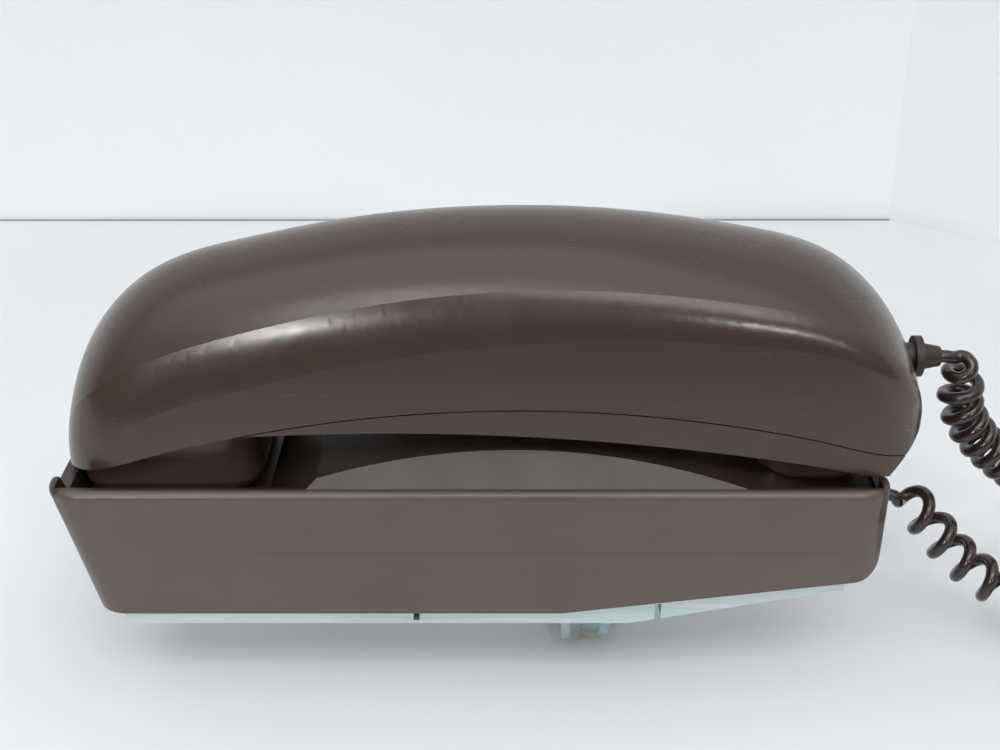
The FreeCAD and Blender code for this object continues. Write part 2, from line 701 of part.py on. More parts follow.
def wall_plate():
    sheet_thick = size("plate_sheet")
    half = size("plate_half")
    pan = across(plate_sheet_side(0, size("plate_flange"), 0), half)
    pan = pan.cut(across(plate_sheet_side(sheet_thick, HIGH, sheet_thick), half - sheet_thick))
    stud = size("stud_spacing") / 2
    length = size("land_length")
    x0 = stud - size("stud_slot_travel") / 2 - length / 2
    x1 = x0 + length
    flare = size("land_flare")
    wide = size("land_half")
    corner = 4.0

    def land(inset, z0):
        low = rounded_rect(x0 + inset, x1 - inset, wide - inset, z0, corner - inset)
        high = rounded_rect(x0 - flare + inset, x1 + flare - inset, wide + flare - inset, z0 + 12, corner - inset)
        return Part.makeLoft([low, high], True, True)

    under = across(plate_sheet_side(LOW, sheet_thick / 2, 0), FAR / 2)
    pan = pan.fuse(land(0, 0).common(under))
    pan = pan.cut(land(sheet_thick, sheet_thick))
    pressed = made("plate_pressing", pan)
    cuts = []
    for i, side in enumerate((-1, 1)):
        cuts.append(rod("stud_entry_%d" % i, "stud_entry_radius", 4, "%d * stud_spacing / 2" % side, 0, -1))
        seat = "%d * stud_spacing / 2 - stud_slot_travel" % side
        cuts.append(rod("stud_seat_%d" % i, "stud_slot_width / 2", 4, seat, 0, -1))
        cuts.append(box("stud_slot_%d" % i, "stud_slot_travel", "stud_slot_width", 4,
                        "%s + stud_slot_travel / 2" % seat, 0, -1))
    cuts.append(box("plug_window", "carrier_length + 2 * plug_fit", "carrier_width + 2 * plug_fit", 6, 0, 0, -1))
    for i, (x, y) in enumerate(plate_screw_places()):
        cuts.append(taper("plate_sink_%d" % i, "plate_screw_head + 0.1", "plate_screw_radius + 0.15",
                          "plate_sheet", x, y, 0))
    for i, x in enumerate((-45.3, 17.1)):
        cuts.append(box("edge_notch_%d" % i, 1.6, "2 * plate_half + 4", 5, x, 0, 0.9))
    return node("wall_plate", cut("plate", pressed, cuts))


def plate_screws():
    screws = []
    for i, (x, y) in enumerate(plate_screw_places()):
        head = taper("plate_screw_head_%d" % i, "plate_screw_head", "plate_screw_radius", "plate_sheet - 0.1", x, y, 0.05)
        shank = rod("plate_screw_shank_%d" % i, "plate_screw_radius", "plate_screw_length - 1", x, y, 0.5)
        slot = box("plate_screw_slot_%d" % i, "2 * plate_screw_head + 1", 0.7, 0.75, x, y, 0)
        screws.append(cut("plate_screw_%d" % i, join("plate_screw_body_%d" % i, [head, shank]), [slot]))
    return group("plate_screws", screws)


# Plug

def plug_parts():
    block = box("carrier_block", "carrier_length", "carrier_width", "carrier_top - carrier_nose", 0, 0, "carrier_nose")
    flange = box("carrier_lip", "carrier_length + 2 * carrier_flange", "carrier_width + 2 * carrier_flange", 1.8, 0, 0,
                 "plate_sheet + seat_gap")
    socket = box("carrier_socket", "plug_depth + 2 * plug_fit", "plug_width + 2 * plug_fit",
                 "plug_length + 4", 0, 0, "carrier_nose - 2")
    lead = box("carrier_lead_hole", 3.2, 6.4, 40, 0, 0, "carrier_nose")
    step = box("carrier_step", "carrier_length", 4, 5, "carrier_length / 2 - 1.5", "-carrier_width / 2", "carrier_nose - 1")
    node("plug_carrier", cut("carrier", join("carrier_body", [block, flange]), [socket, lead, step]))

    plug = box("plug_block", "plug_depth", "plug_width", "plug_length", 0, 0, "plug_tip")
    slots = []
    blades = []
    for i in range(4):
        y = "%g * contact_pitch" % (i - 1.5)
        slots.append(box("plug_slot_%d" % i, 2.4, 0.6, 5, "plug_depth / 2 - 0.6", y, "plug_tip + 0.8"))
        blades.append(box("plug_blade_%d" % i, 1.4, 0.4, 4.4, "plug_depth / 2 - 1.0", y, "plug_tip + 0.9"))
    node("modular_plug", cut("plug", plug, slots))
    group("plug_contacts", blades)


# Hook

def hook_level():
    """Height of the plunger's top: just under the handset's face."""
    return face_level(size("hook_x") + size("hook_radius")) - 0.3


def hook_parts():
    top = hook_level()
    foot = size("hook_foot_z")
    r = size("hook_radius")
    collar_z = size("hook_collar_z")
    collar_r = size("hook_collar_radius")
    thick = size("hook_collar_thick")
    profile = [(0, foot), (r - 0.6, foot), (r, foot + 0.6), (r, collar_z), (collar_r, collar_z),
               (collar_r, collar_z + thick), (r, collar_z + thick), (r, top - 1.2), (r - 1.0, top), (0, top)]
    body = turned("hook_plunger_body", profile, "hook_x", 0, 0)
    node("hook_plunger", body)

    frame = box("switch_plate", "switch_length", "2 * switch_half", "switch_thick", "hook_x", 0, "switch_z")
    legs = [
        box("switch_wall_%d" % i, "switch_length", 2, 10, "hook_x", "%d * (switch_body_half - 1)" % side, "switch_z - 10")
        for i, side in enumerate((-1, 1))
    ]
    stack = box("switch_stack", 5, "2 * switch_body_half - 4", 10, "hook_x - switch_length / 2 + 2.5", 0, "switch_z - 10")
    bore = rod("switch_bore", "hook_radius + 0.4", 10, "hook_x", 0, "switch_z - 2")
    node("hook_switch_frame", cut("switch_frame", join("switch_body", [frame, stack] + legs), [bore]))
    leaves = []
    for i in range(3):
        z = "hook_foot_z - 0.3 - leaf_thick - %g" % (2.6 * i)
        leaves.append(box("leaf_%d" % i, "switch_length - 6.4 - %g" % (1.5 * i), "leaf_width + 1", "leaf_thick",
                          "hook_x - switch_length / 2 + 5.1 + (switch_length - 6.4 - %g) / 2" % (1.5 * i), 0, z))
    group("hook_contacts", leaves)


def turned(name, profile, x, y, z):
    """A body turned from a half profile of (radius, height) points about its upright axis."""
    body = doc.addObject("PartDesign::Body", name)
    plane = [o for o in body.Origin.OriginFeatures if o.Role == "XZ_Plane"][0]
    axis = [o for o in body.Origin.OriginFeatures if o.Role == "Z_Axis"][0]
    sketch = body.newObject("Sketcher::SketchObject", name + "_profile")
    sketch.AttachmentSupport = [(plane, "")]
    sketch.MapMode = "FlatFace"
    points = [Vector(r, h, 0) for r, h in profile]
    for a, b in zip(points, points[1:] + points[:1]):
        sketch.addGeometry(Part.LineSegment(a, b), False)
    turn = body.newObject("PartDesign::Revolution", name + "_turn")
    turn.Profile = sketch
    turn.ReferenceAxis = (axis, [""])
    turn.Angle = 360
    body.Tip = turn
    place(body, x, y, z)
    return body


# Ringer

def clapper_places():
    """Pivot and ball of the clapper, seen from the front."""
    pivot = Vector(size("coil_x") - 3, 0, 0)
    reach = size("gong_radius") - size("gong_wall") - size("clapper_ball") - size("clapper_gap")
    return pivot, Vector(size("gong_x"), reach, 0)


def ringer_parts():
    floor = "plate_sheet + 0.1"
    ear_y = "(coil_length / 2 + ringer_ear / 2 + 0.1)"
    base = box("ringer_base", "coil_radius * 2 + 12", 36, 1.6, "gong_x - 7", 0, floor)
    ears = [box("ringer_ear_%d" % i, 12, "ringer_ear", "ringer_bridge_z", "coil_x", "%d * %s" % (side, ear_y), floor)
            for i, side in enumerate((-1, 1))]
    bridge = box("ringer_bridge", 12, "coil_length + 2 * ringer_ear + 0.2", 1.6, "coil_x", 0, "ringer_bridge_z")
    post = rod("gong_post", 3, "gong_z + gong_height - gong_wall - plate_sheet - 0.3", "gong_x", 0, floor)
    pin = rod("clapper_pivot_pin", "clapper_pin", 5, "coil_x - 3", 0, "ringer_bridge_z + 1")
    pilot = rod("gong_pilot", 1.3, 10, "gong_x", 0, "gong_z + gong_height - gong_wall - 9")
    node("ringer_frame", cut("ringer_bracket", join("ringer_body", [base, bridge, post, pin] + ears), [pilot]))

    winding = rod("coil_winding", "coil_radius", "coil_length - 3", "coil_x", "-(coil_length - 3) / 2", "coil_z", "y")
    cheeks = [rod("coil_cheek_%d" % i, "coil_radius + 0.8", 1.5, "coil_x", y, "coil_z", "y")
              for i, y in enumerate(("-coil_length / 2", "coil_length / 2 - 1.5"))]
    bore = rod("coil_bore", "core_radius + 0.1", "coil_length + 2", "coil_x", "-coil_length / 2 - 1", "coil_z", "y")
    node("ringer_coil", cut("coil", join("coil_body", [winding] + cheeks), [bore]))
    node("ringer_core", rod("core", "core_radius", "coil_length", "coil_x", "-coil_length / 2", "coil_z", "y"))

    r = size("gong_radius")
    tall = size("gong_height")
    wall = size("gong_wall")
    z = size("gong_z")
    outer = [(r, z), (r, z + 0.3 * tall), (0.9 * r, z + 0.72 * tall), (0.66 * r, z + 0.95 * tall), (0.45 * r, z + tall)]
    inner = [(0.45 * r, z + tall - wall), (0.66 * r - wall / 2, z + 0.95 * tall - wall),
             (0.9 * r - wall, z + 0.72 * tall - wall / 2), (r - wall, z + 0.3 * tall), (r - wall, z)]
    profile = outer + [(1.6, z + tall), (1.6, z + tall - wall)] + inner
    node("gong", turned("gong_body", profile, "gong_x", 0, 0))
    top = z + tall
    screw = [(0, top - 8), (1.2, top - 8), (1.2, top + 0.1), (3.4, top + 0.1), (3.2, top + 1.1), (2.2, top + 1.6), (0, top + 1.6)]
    node("gong_screw", turned("gong_screw_body", screw, "gong_x", 0, 0))

    pivot, strike = clapper_places()
    level = "ringer_bridge_z + 1.9"
    run = strike - pivot
    hub = rod("clapper_hub", 3.4, 1.8, pivot.x, pivot.y, level)
    arm = made("clapper_arm", Part.makeBox(run.Length, 2.4, 1.8, Vector(0, -1.2, 0)))
    arm.Placement = Placement(Vector(pivot.x, pivot.y, size("ringer_bridge_z") + 1.9),
                              Rotation(Vector(0, 0, 1), math.degrees(math.atan2(run.y, run.x))))
    stem = rod("clapper_stem", 1.0, "gong_z + 2 - ringer_bridge_z - 2", strike.x, strike.y, level)
    tip = ball("clapper_tip", "clapper_ball", strike.x, strike.y, "gong_z + 2")
    hole = rod("clapper_hole", "clapper_pin + clapper_fit", 6, pivot.x, pivot.y, "ringer_bridge_z")
    node("clapper", cut("clapper_solid", join("clapper_body", [hub, arm, stem, tip]), [hole]))


def volume_lever():
    side = size("back_half") + (size("rim_half") - size("back_half")) * (
        (size("lever_z") - size("back_lift")) / (size("rim_height") - size("back_lift")))
    inner = side - size("base_wall")
    draft = (size("rim_half") - size("back_half")) / (size("rim_height") - size("back_lift"))
    tall = size("lever_height") + 2 * size("lever_lip")
    slack = max(size("lever_slack"), draft * tall / 2 + size("hook_fit"))
    flange = box("lever_flange", "lever_knob + 4 * lever_travel + 4", 1.4, "lever_height + 2 * lever_lip", "lever_x",
                 inner - slack - 0.7, "lever_z - lever_height / 2 - lever_lip")
    knob = box("lever_grip", "lever_knob", "%g + lever_proud" % (side - inner + slack), "lever_height", "lever_x",
               "%g + lever_proud / 2" % ((side + inner - slack) / 2), "lever_z - lever_height / 2")
    ribs = [box("lever_rib_%d" % i, 0.5, 1.0, "lever_height + 2", "lever_x + %g" % (1.3 * (i - 1)),
                "%g + lever_proud" % side, "lever_z - lever_height / 2 - 1") for i in range(3)]
    node("volume_lever", cut("lever", join("lever_body", [flange, knob]), ribs))


# Network

def network_parts():
    board = box("board_plate", "board_length", "2 * board_half", "board_thick", "board_x", 0, "board_z")
    holes = [rod("board_hole_%d" % i, "board_screw + 0.15", 6, x, y, "board_z - 2")
             for i, (x, y) in enumerate(board_screw_places())]
    node("network_board", cut("board", board, holes))
    top = "board_z + board_thick"
    core = box("transformer_core", 15, 18, 11, "board_x + 10", 4, top)
    bobbin = box("transformer_bobbin", 19, 11, 8.5, "board_x + 10", 4, "%s + 1" % top)
    node("network_transformer", join("transformer", [core, bobbin]))
    cans = [rod("capacitor_%d" % i, radius, height, "board_x - %g" % dx, dy, top)
            for i, (radius, height, dx, dy) in enumerate(((5.0, 11, 12, 10), (4.0, 9, 8, -5), (3.2, 8, 18, -3)))]
    group("network_capacitors", cans)
    screws = []
    for i in range(4):
        x = "board_x + %g" % (9.0 * (i - 1.5))
        head = rod("terminal_head_%d" % i, 2.6, 1.6, x, -16.5, "board_z - 2.4")
        shank = rod("terminal_shank_%d" % i, 1.2, 0.8, x, -16.5, "board_z - 0.8")
        slot = box("terminal_slot_%d" % i, 6, 0.6, 0.7, x, -16.5, "board_z - 2.4")
        screws.append(cut("terminal_%d" % i, join("terminal_body_%d" % i, [head, shank]), [slot]))
    group("terminal_screws", screws)
    fixings = []
    for i, (x, y) in enumerate(board_screw_places()):
        head = rod("board_screw_head_%d" % i, 2.5, 1.4, x, y, "board_z - 1.4")
        shank = rod("board_screw_shank_%d" % i, "board_screw", "6 + 0.1", x, y, "board_z - 0.1")
        fixings.append(join("board_screw_%d" % i, [head, shank]))
    group("board_screws", fixings)


# Handset shells

def boss_foot(x):
    """Where a boss of the back shell stops, just over the face shell's sloping plate."""
    reach = size("shell_boss")
    return max(face_level(x - reach), face_level(x + reach)) + size("face_wall") + size("seat_gap")


def shell_screw_places():
    return [("shell_screw_top_x", "0"), ("shell_screw_x", "-shell_screw_y"), ("shell_screw_x", "shell_screw_y")]


def handset_back(outer):
    inner = made("back_hollow", handset_form(size("shell_wall")))
    over = made("over_seam", arch_side(seam, 0, HIGH))
    solid = shared("back_solid", [outer, over])
    shell = cut("back_shell", solid, [inner])
    bosses = []
    pilots = []
    for i, (x, y) in enumerate(shell_screw_places()):
        foot = boss_foot(size(x))
        bosses.append(rod("shell_boss_%d" % i, "shell_boss", HIGH, x, y, foot))
        pilots.append(rod("shell_pilot_%d" % i, "shell_screw_radius + 0.1", "shell_screw_length", x, y, foot - 1))
    posts = shared("back_bosses", [join("boss_rods", bosses), outer])
    hole = rod("handset_cord_hole", "grommet_shaft + grommet_fit", 30, "handset_bottom_x - 20", 0, "exit_z", "x")
    body = join("back_body", [shell, posts])
    return node("handset_back", cut("back", body, pilots + [hole]))


def handset_face(outer):
    wall = size("face_wall")
    under = made("under_seam", arch_side(seam, -size("seam_gap"), LOW))
    over = made("over_face", arch_side(face_level, 0, HIGH))
    skirt = shared("face_skirt", [outer, under, over])
    room = shared("face_room", [made("face_hollow", handset_form(wall)), made("over_plate", arch_side(face_level, wall, HIGH))])
    rim = cut("face_rim", skirt, [room])
    fitted = made("face_inset", handset_form(size("shell_wall") + size("shell_fit")))
    plate = shared("face_plate", [fitted, over, made("under_plate", arch_side(face_level, wall, LOW))])
    ear_foot = rounded_block(size("ear_top_x"), size("ear_bottom_x"), size("ear_half"), ear_level(),
                             size("rim_height") + 2, size("ear_corner"), size("ear_edge"))
    ear_neck = rounded_block(size("ear_top_x"), size("ear_bottom_x"), size("ear_half"), size("rim_height") - 2,
                             size("block_top"), size("ear_corner"))
    ear = made("ear_block", ear_foot.fuse(ear_neck.common(fitted.Shape)))
    mouth_low = mouth_level(size("mouth_bottom_x"))
    mouth_top = face_level(size("mouth_bottom_x")) + wall
    mouth = made("mouth_block", rounded_block(size("mouth_top_x"), size("mouth_bottom_x"), size("mouth_half"),
                                              mouth_low, mouth_top, size("mouth_corner"), size("mouth_edge"))
                 .common(mouth_space(size("rest_gap"))))
    solid = join("face_solid", [rim, plate, ear, mouth])
    ear_room = made("ear_room", rounded_block(size("ear_top_x") + wall, size("ear_bottom_x") - wall,
                                              size("ear_half") - wall, ear_level() + wall, HIGH,
                                              size("ear_corner") - wall, size("ear_edge") - wall))
    mouth_room = made("mouth_room", rounded_block(size("mouth_top_x") + wall, size("mouth_bottom_x") - wall,
                                                  size("mouth_half") - wall, mouth_low + wall, HIGH,
                                                  size("mouth_corner") - wall)
                      .common(mouth_space(size("rest_gap") + wall)))
    hollowed = cut("face_hollowed", cut("face_ear_hollow", solid, [ear_room], False), [mouth_room], False)
    tools = []
    for i, (x, y) in enumerate(sound_holes(size("receiver_x"), (1, 6, 12))):
        tools.append(rod("ear_hole_%d" % i, "sound_hole", 12, x, y, "ear_floor - 4"))
    for i, (x, y) in enumerate(sound_holes(size("transmitter_x"), (1, 6))):
        tools.append(rod("mouth_hole_%d" % i, "sound_hole", 12, x, y, "mouth_floor - 4"))
    for name, x, y in key_places():
        tools.append(box(name + "_hole", "key_length + 2 * key_gap", "key_width + 2 * key_gap", 14, x, y, 46))
    tools.append(box("recall_hole", "recall_length + 2 * key_gap", "recall_width + 2 * key_gap", 14, "recall_x", 0, 46))
    pocket_top = face_level(size("card_x")) + size("card_thick") + size("window_thick") + 0.1
    tools.append(box("card_pocket", "card_length + 0.4", "card_width + 0.4", 10, "card_x", 0, "%g - 10" % pocket_top))
    for i, (x, y) in enumerate(shell_screw_places()):
        level = face_level(size(x))
        tools.append(rod("face_screw_hole_%d" % i, "shell_screw_radius + 0.2", 10, x, y, level - 4))
        tools.append(rod("face_screw_sink_%d" % i, "shell_screw_head + 0.3", 5, x, y, level - 4))
    posts = []
    for i, (x, y) in enumerate(pad_post_places()):
        foot = face_level(x) + 0.5
        posts.append(rod("pad_post_%d" % i, 1.8, "mat_z + mat_thick - %g" % foot, x, y, foot))
    body = cut("face_cut", hollowed, tools, False)
    return node("handset_face", join("face", [body] + posts))


def sound_holes(x, counts):
    """Rings of sound holes round a centre."""
    places = []
    for ring, count in enumerate(counts):
        for i in range(count):
            angle = 2 * math.pi * i / count
            reach = size("sound_ring") * ring
            places.append((x + reach * math.cos(angle), reach * math.sin(angle)))
    return places


# Keypad

KEY_NAMES = ("1", "2", "3", "4", "5", "6", "7", "8", "9", "star", "0", "hash")


def key_places():
    """Name and place of each key: three to a row, first row nearest the ear."""
    places = []
    for i, name in enumerate(KEY_NAMES):
        row = i // 3
        column = 1 - i % 3
        places.append(("key_" + name, "key_first_x + %d * key_pitch_x" % row, "%d * key_pitch_y" % column))
    return places


def pad_post_places():
    """Corners of the keypad board, where it stands on the face."""
    x0 = size("key_first_x") - size("pad_board_margin") + 2.5
    x1 = size("recall_x") + size("pad_board_margin") - 2.5
    y = size("pad_board_half") - 2.5
    return [(x, side * y) for x in (x0, x1) for side in (-1, 1)]


def button(name, length, width, x, y, at):
    """A cap through the face, with a lip inside that keeps it in and a stem up to the mat."""
    reach = length / 2 + size("key_lip")
    lip_z = max(face_level(at - reach), face_level(at + reach)) + size("face_wall") + size("rest_gap")
    cap = made(name + "_cap", rounded_block(-length / 2, length / 2, width / 2, face_level(at) - size("key_stand"),
                                            lip_z + 0.5, size("key_corner"), 0.8))
    place(cap, x, y, 0)
    lip = box(name + "_lip", "%g + 2 * key_lip" % length, "%g + 2 * key_lip" % width, 1.0, x, y, lip_z)
    stem = rod(name + "_stem", 1.6, "key_top - %g" % lip_z, x, y, lip_z)
    node(name, join(name + "_solid", [cap, lip, stem]))


def keypad_parts():
    for name, x, y in key_places():
        at = size("key_first_x") + KEY_NAMES.index(name[4:]) // 3 * size("key_pitch_x")
        button(name, size("key_length"), size("key_width"), x, y, at)
    button("recall_button", size("recall_length"), size("recall_width"), "recall_x", 0, size("recall_x"))

    x0 = size("key_first_x") - size("pad_board_margin")
    x1 = size("recall_x") + size("pad_board_margin")
    length = x1 - x0
    middle = (x0 + x1) / 2
    board = box("pad_plate", length, "2 * pad_board_half", "pad_board_thick", middle, 0, "mat_z + mat_thick")
    parts = [board]
    for i, (dx, dy, w) in enumerate(((-20, 8, 10), (-2, -9, 14), (18, 6, 8))):
        parts.append(box("pad_chip_%d" % i, w, 7, 2.6, middle + dx, dy, "mat_z + mat_thick + pad_board_thick - 0.05"))
    node("keypad_board", join("pad_board", parts))
    mat = box("mat_plate", "%g - 9.6" % length, "2 * pad_board_half - 9.6", "mat_thick", middle, 0, "mat_z")
    node("key_mat", mat)

    level = face_level(size("card_x"))
    node("card_window", box("window_plate", "card_length", "card_width", "window_thick - 0.1", "card_x", 0, level + 0.02))
    node("number_card", box("card_plate", "card_length", "card_width", "card_thick", "card_x", 0,
                            "%g + window_thick" % (level - 0.05)))


# Capsules, screws and grommets

def capsules():
    r = size("receiver_radius")
    tall = size("receiver_height")
    low = ear_level() + size("face_wall") + size("seat_gap")
    profile = [(0, low), (r, low), (r, low + 0.45 * tall), (0.8 * r, low + 0.5 * tall), (0.74 * r, low + 0.9 * tall),
               (0.4 * r, low + tall), (0, low + tall)]
    node("receiver", turned("receiver_body", profile, "receiver_x", 0, 0))
    ring = [(r + 0.1, low), (r + size("ring_wall"), low), (r + size("ring_wall"), low + size("ring_height")),
            (r + 0.1, low + size("ring_height"))]
    node("receiver_ring", turned("receiver_ring_body", ring, "receiver_x", 0, 0))
    r = size("transmitter_radius")
    tall = size("transmitter_height")
    low = mouth_level(size("transmitter_x") - r) + size("face_wall") + size("seat_gap")
    profile = [(0, low), (r - 0.8, low), (r, low + 0.8), (r, low + 0.7 * tall), (0.86 * r, low + tall), (0, low + tall)]
    node("transmitter", turned("transmitter_body", profile, "transmitter_x", 0, 0))


def handset_screws():
    screws = []
    for i, (x, y) in enumerate(shell_screw_places()):
        level = face_level(size(x)) + 1.0
        head = rod("shell_screw_head_%d" % i, "shell_screw_head", 1.6, x, y, level - 1.65)
        shank = rod("shell_screw_shank_%d" % i, "shell_screw_radius", "shell_screw_length - 2", x, y, level - 0.5)
        slot = box("shell_screw_slot_%d" % i, 8, 0.7, 0.8, x, y, level - 1.6)
        screws.append(cut("shell_screw_%d" % i, join("shell_screw_body_%d" % i, [head, shank]), [slot]))
    group("handset_screws", screws)


def grommet(label, x_in, x_wall, x_out, z, nose):
    """A rubber bush with a flange each side of the wall and a tapered nose for the cord."""
    parts = [
        rod(label + "_shaft", "grommet_shaft", "%s - (%s)" % (x_wall, x_in), x_in, 0, z, "x"),
        rod(label + "_inner", "grommet_flange", 2.0, "%s - 2" % x_in, 0, z, "x"),
        rod(label + "_outer", "grommet_flange", 2.0, x_wall, 0, z, "x"),
        taper(label + "_nose", "grommet_shaft", "cord_radius + 0.9", nose, x_out, 0, z, "x"),
    ]
    node(label, join(label + "_body", parts))


def grommets():
    grommet("base_cord_grommet", "base_bottom_x - base_wall - 0.3", "base_bottom_x + 0.2", "base_bottom_x + 2.2",
            "base_exit_z", 4)
    grommet("handset_cord_grommet", "handset_bottom_x - 7.4", "handset_bottom_x - 0.4", "handset_bottom_x + 1.6",
            "exit_z", 5)


# Curly cord

def cord_route():
    """Centre line of the curls, chosen by hand: handset, a loop on the table, base."""
    table = size("table_z") + size("curl_radius") + size("cord_radius")
    start = Vector(size("handset_bottom_x") + 6.6, 0, size("exit_z"))
    finish = Vector(size("base_bottom_x") + 6.2, 0, size("base_exit_z"))
    return [
        start,
        start + Vector(8.5, 0, 0),
        Vector(97, 2, 49),
        Vector(105, 3, 35),
        Vector(123, 7, 20),
        Vector(147, 14, 0),
        Vector(170, 18, table),
        Vector(192, 8, table),
        Vector(192, -14, table),
        Vector(172, -25, table),
        Vector(144, -20, table + 1),
        Vector(119, -8, -9),
        Vector(101, -4, 3),
        finish + Vector(8, 0, 0),
        finish,
    ]


def smooth_path(points):
    """Straight runs joined by tangent arcs, as a list of pieces: (length, function of distance)."""
    pieces = []
    radii = []
    here = points[0]
    for a, b, c in zip(points, points[1:], points[2:]):
        into = (b - a).normalize()
        out = (c - b).normalize()
        turn = into.getAngle(out)
        reach = 0.45 * min((b - a).Length, (c - b).Length)
        radius = reach / math.tan(turn / 2)
        radii.append(round(radius, 1))
        begin = b - into * reach
        run = (begin - here).Length
        pieces.append((run, lambda s, p=here, d=into: (p + d * s, d)))
        inward = (out - into * into.dot(out)).normalize()
        centre = begin + inward * radius

        def on_arc(s, centre=centre, radius=radius, into=into, inward=inward):
            angle = s / radius
            point = centre - inward * (radius * math.cos(angle)) + into * (radius * math.sin(angle))
            return point, into * math.cos(angle) + inward * math.sin(angle)

        pieces.append((radius * turn, on_arc))
        here = b + out * reach
    last = points[-1]
    way = (last - here).normalize()
    pieces.append(((last - here).Length, lambda s, p=here, d=way: (p + d * s, d)))
    print("radii of the route's corners", radii)
    return pieces


def along_path(pieces, distance):
    for length, where in pieces:
        if distance <= length:
            return where(distance)
        distance -= length
    length, where = pieces[-1]
    return where(length)


FRAME_STEP = 0.5
LEAD = 3.6
RAMP = 6.0
CLOSED_STRETCH = 78.0
OPEN_STRETCH = 44.0
EASE = 12.0


def curl_line(pieces):
    """Position of the cord's own centre line at a distance along the route, as a function."""
    total = sum(length for length, where in pieces)
    count = int(total / FRAME_STEP)
    frames = []
    point, way = along_path(pieces, 0)
    side = Vector(0, 0, 1).cross(way).normalize()
    turned_by = 0.0
    last_way = way
    radius = size("curl_radius")
    for i in range(count + 1):
        s = total * i / count
        point, way = along_path(pieces, s)
        side = (side - way * side.dot(way)).normalize()
        up = way.cross(side)
        swell = min(max((s - LEAD) / RAMP, 0.0), 1.0, max((total - LEAD - s) / RAMP, 0.0))
        swell = swell * swell * (3 - 2 * swell)
        pitch = size("curl_pitch")
        for begin, wanted in ((CLOSED_STRETCH, size("curl_pitch_loop")), (total - OPEN_STRETCH, size("curl_pitch_open"))):
            pitch += (wanted - pitch) * min(max((s - begin) / EASE + 0.5, 0.0), 1.0)
        bend = way.getAngle(last_way) / (total / count)
        last_way = way
        pitch /= max(1 - radius * bend, 0.35)
        if LEAD < s < total - LEAD:
            turned_by += 2 * math.pi * (total / count) / pitch
        frames.append((s, point, side, up, radius * swell, turned_by))
    return total, frames


def place_on_line(total, frames, s):
    at = min(max(s / total, 0.0), 1.0) * (len(frames) - 1)
    low = min(int(at), len(frames) - 2)
    part = at - low
    a = frames[low]
    b = frames[low + 1]
    point = a[1] * (1 - part) + b[1] * part
    side = (a[2] * (1 - part) + b[2] * part).normalize()
    up = (a[3] * (1 - part) + b[3] * part).normalize()
    radius = a[4] * (1 - part) + b[4] * part
    angle = a[5] * (1 - part) + b[5] * part
    return point + side * (radius * (math.cos(angle))) + up * (radius * math.sin(angle)), angle


def biarc(p, t, q, u):
    """Two arcs that join p to q, with tangents t and u."""
    v = q - p
    both = t + u
    away = 2 * (1 - t.dot(u))
    if away < 1e-9:
        reach = v.dot(v) / (4 * v.dot(u))
    else:
        reach = (-v.dot(both) + math.sqrt(v.dot(both) ** 2 + away * v.dot(v))) / away
    middle = (p + q + (t - u) * reach) * 0.5
    return [arc_from(p, t, middle), arc_from(q, u * -1, middle)]


def arc_from(p, t, q):
    """The arc that leaves p along t and ends at q, or a line where it is straight."""
    chord = q - p
    off = chord - t * chord.dot(t)
    if off.Length < 1e-6 * chord.Length:
        return Part.LineSegment(p, q).toShape()
    off.normalize()
    radius = chord.dot(chord) / (2 * chord.dot(off))
    centre = p + off * radius
    out = ((p + q) * 0.5 - centre)
    if out.Length < 1e-9:
        out = t
    return Part.Arc(p, centre + out.normalize() * abs(radius), q).toShape()


def curly_cord():
    pieces = smooth_path(cord_route())
    total, frames = curl_line(pieces)
    angle_end = frames[-1][5]
    stops = [0.0, LEAD]
    turn = math.pi
    wanted = turn
    for i in range(1, len(frames)):
        if frames[i][5] >= wanted:
            a, b = frames[i - 1], frames[i]
            part = (wanted - a[5]) / (b[5] - a[5])
            stops.append(a[0] + (b[0] - a[0]) * part)
            wanted += turn
    if total - LEAD - stops[-1] < 0.4:
        stops.pop()
    stops += [total - LEAD, total]
    points = []
    tangents = []
    for s in stops:
        here = place_on_line(total, frames, s)[0]
        points.append(here)
        before = place_on_line(total, frames, max(s - 0.05, 0))[0]
        after = place_on_line(total, frames, min(s + 0.05, total))[0]
        tangents.append((after - before).normalize())
    for end in (0, 1):
        tangents[end] = along_path(pieces, 0)[1]
        tangents[-1 - end] = along_path(pieces, total)[1]
    edges = [Part.LineSegment(points[0], points[1]).toShape()]
    for i in range(1, len(points) - 2):
        first, second = biarc(points[i], tangents[i], points[i + 1], tangents[i + 1])
        edges += [first, second]
    edges.append(Part.LineSegment(points[-2], points[-1]).toShape())
    spine = Part.Wire(Part.sortEdges(edges)[0])
    start = points[0]
    ring = Part.Wire([Part.Circle(start, tangents[0], size("cord_radius")).toShape()])
    shell = Part.BRepOffsetAPI.MakePipeShell(spine)
    shell.add(ring, False, False)
    shell.build()
    shell.makeSolid()
    solid = shell.shape()
    print("curls", round(angle_end / (2 * math.pi), 1), "cord length", round(spine.Length, 1), "route", round(total, 1))
    print("cord volume over section times length",
          round(solid.Volume / (spine.Length * math.pi * size("cord_radius") ** 2), 4))
    print("least gap to itself", round(self_gap(spine), 2))
    return node("handset_cord", made("curly_cord", solid))


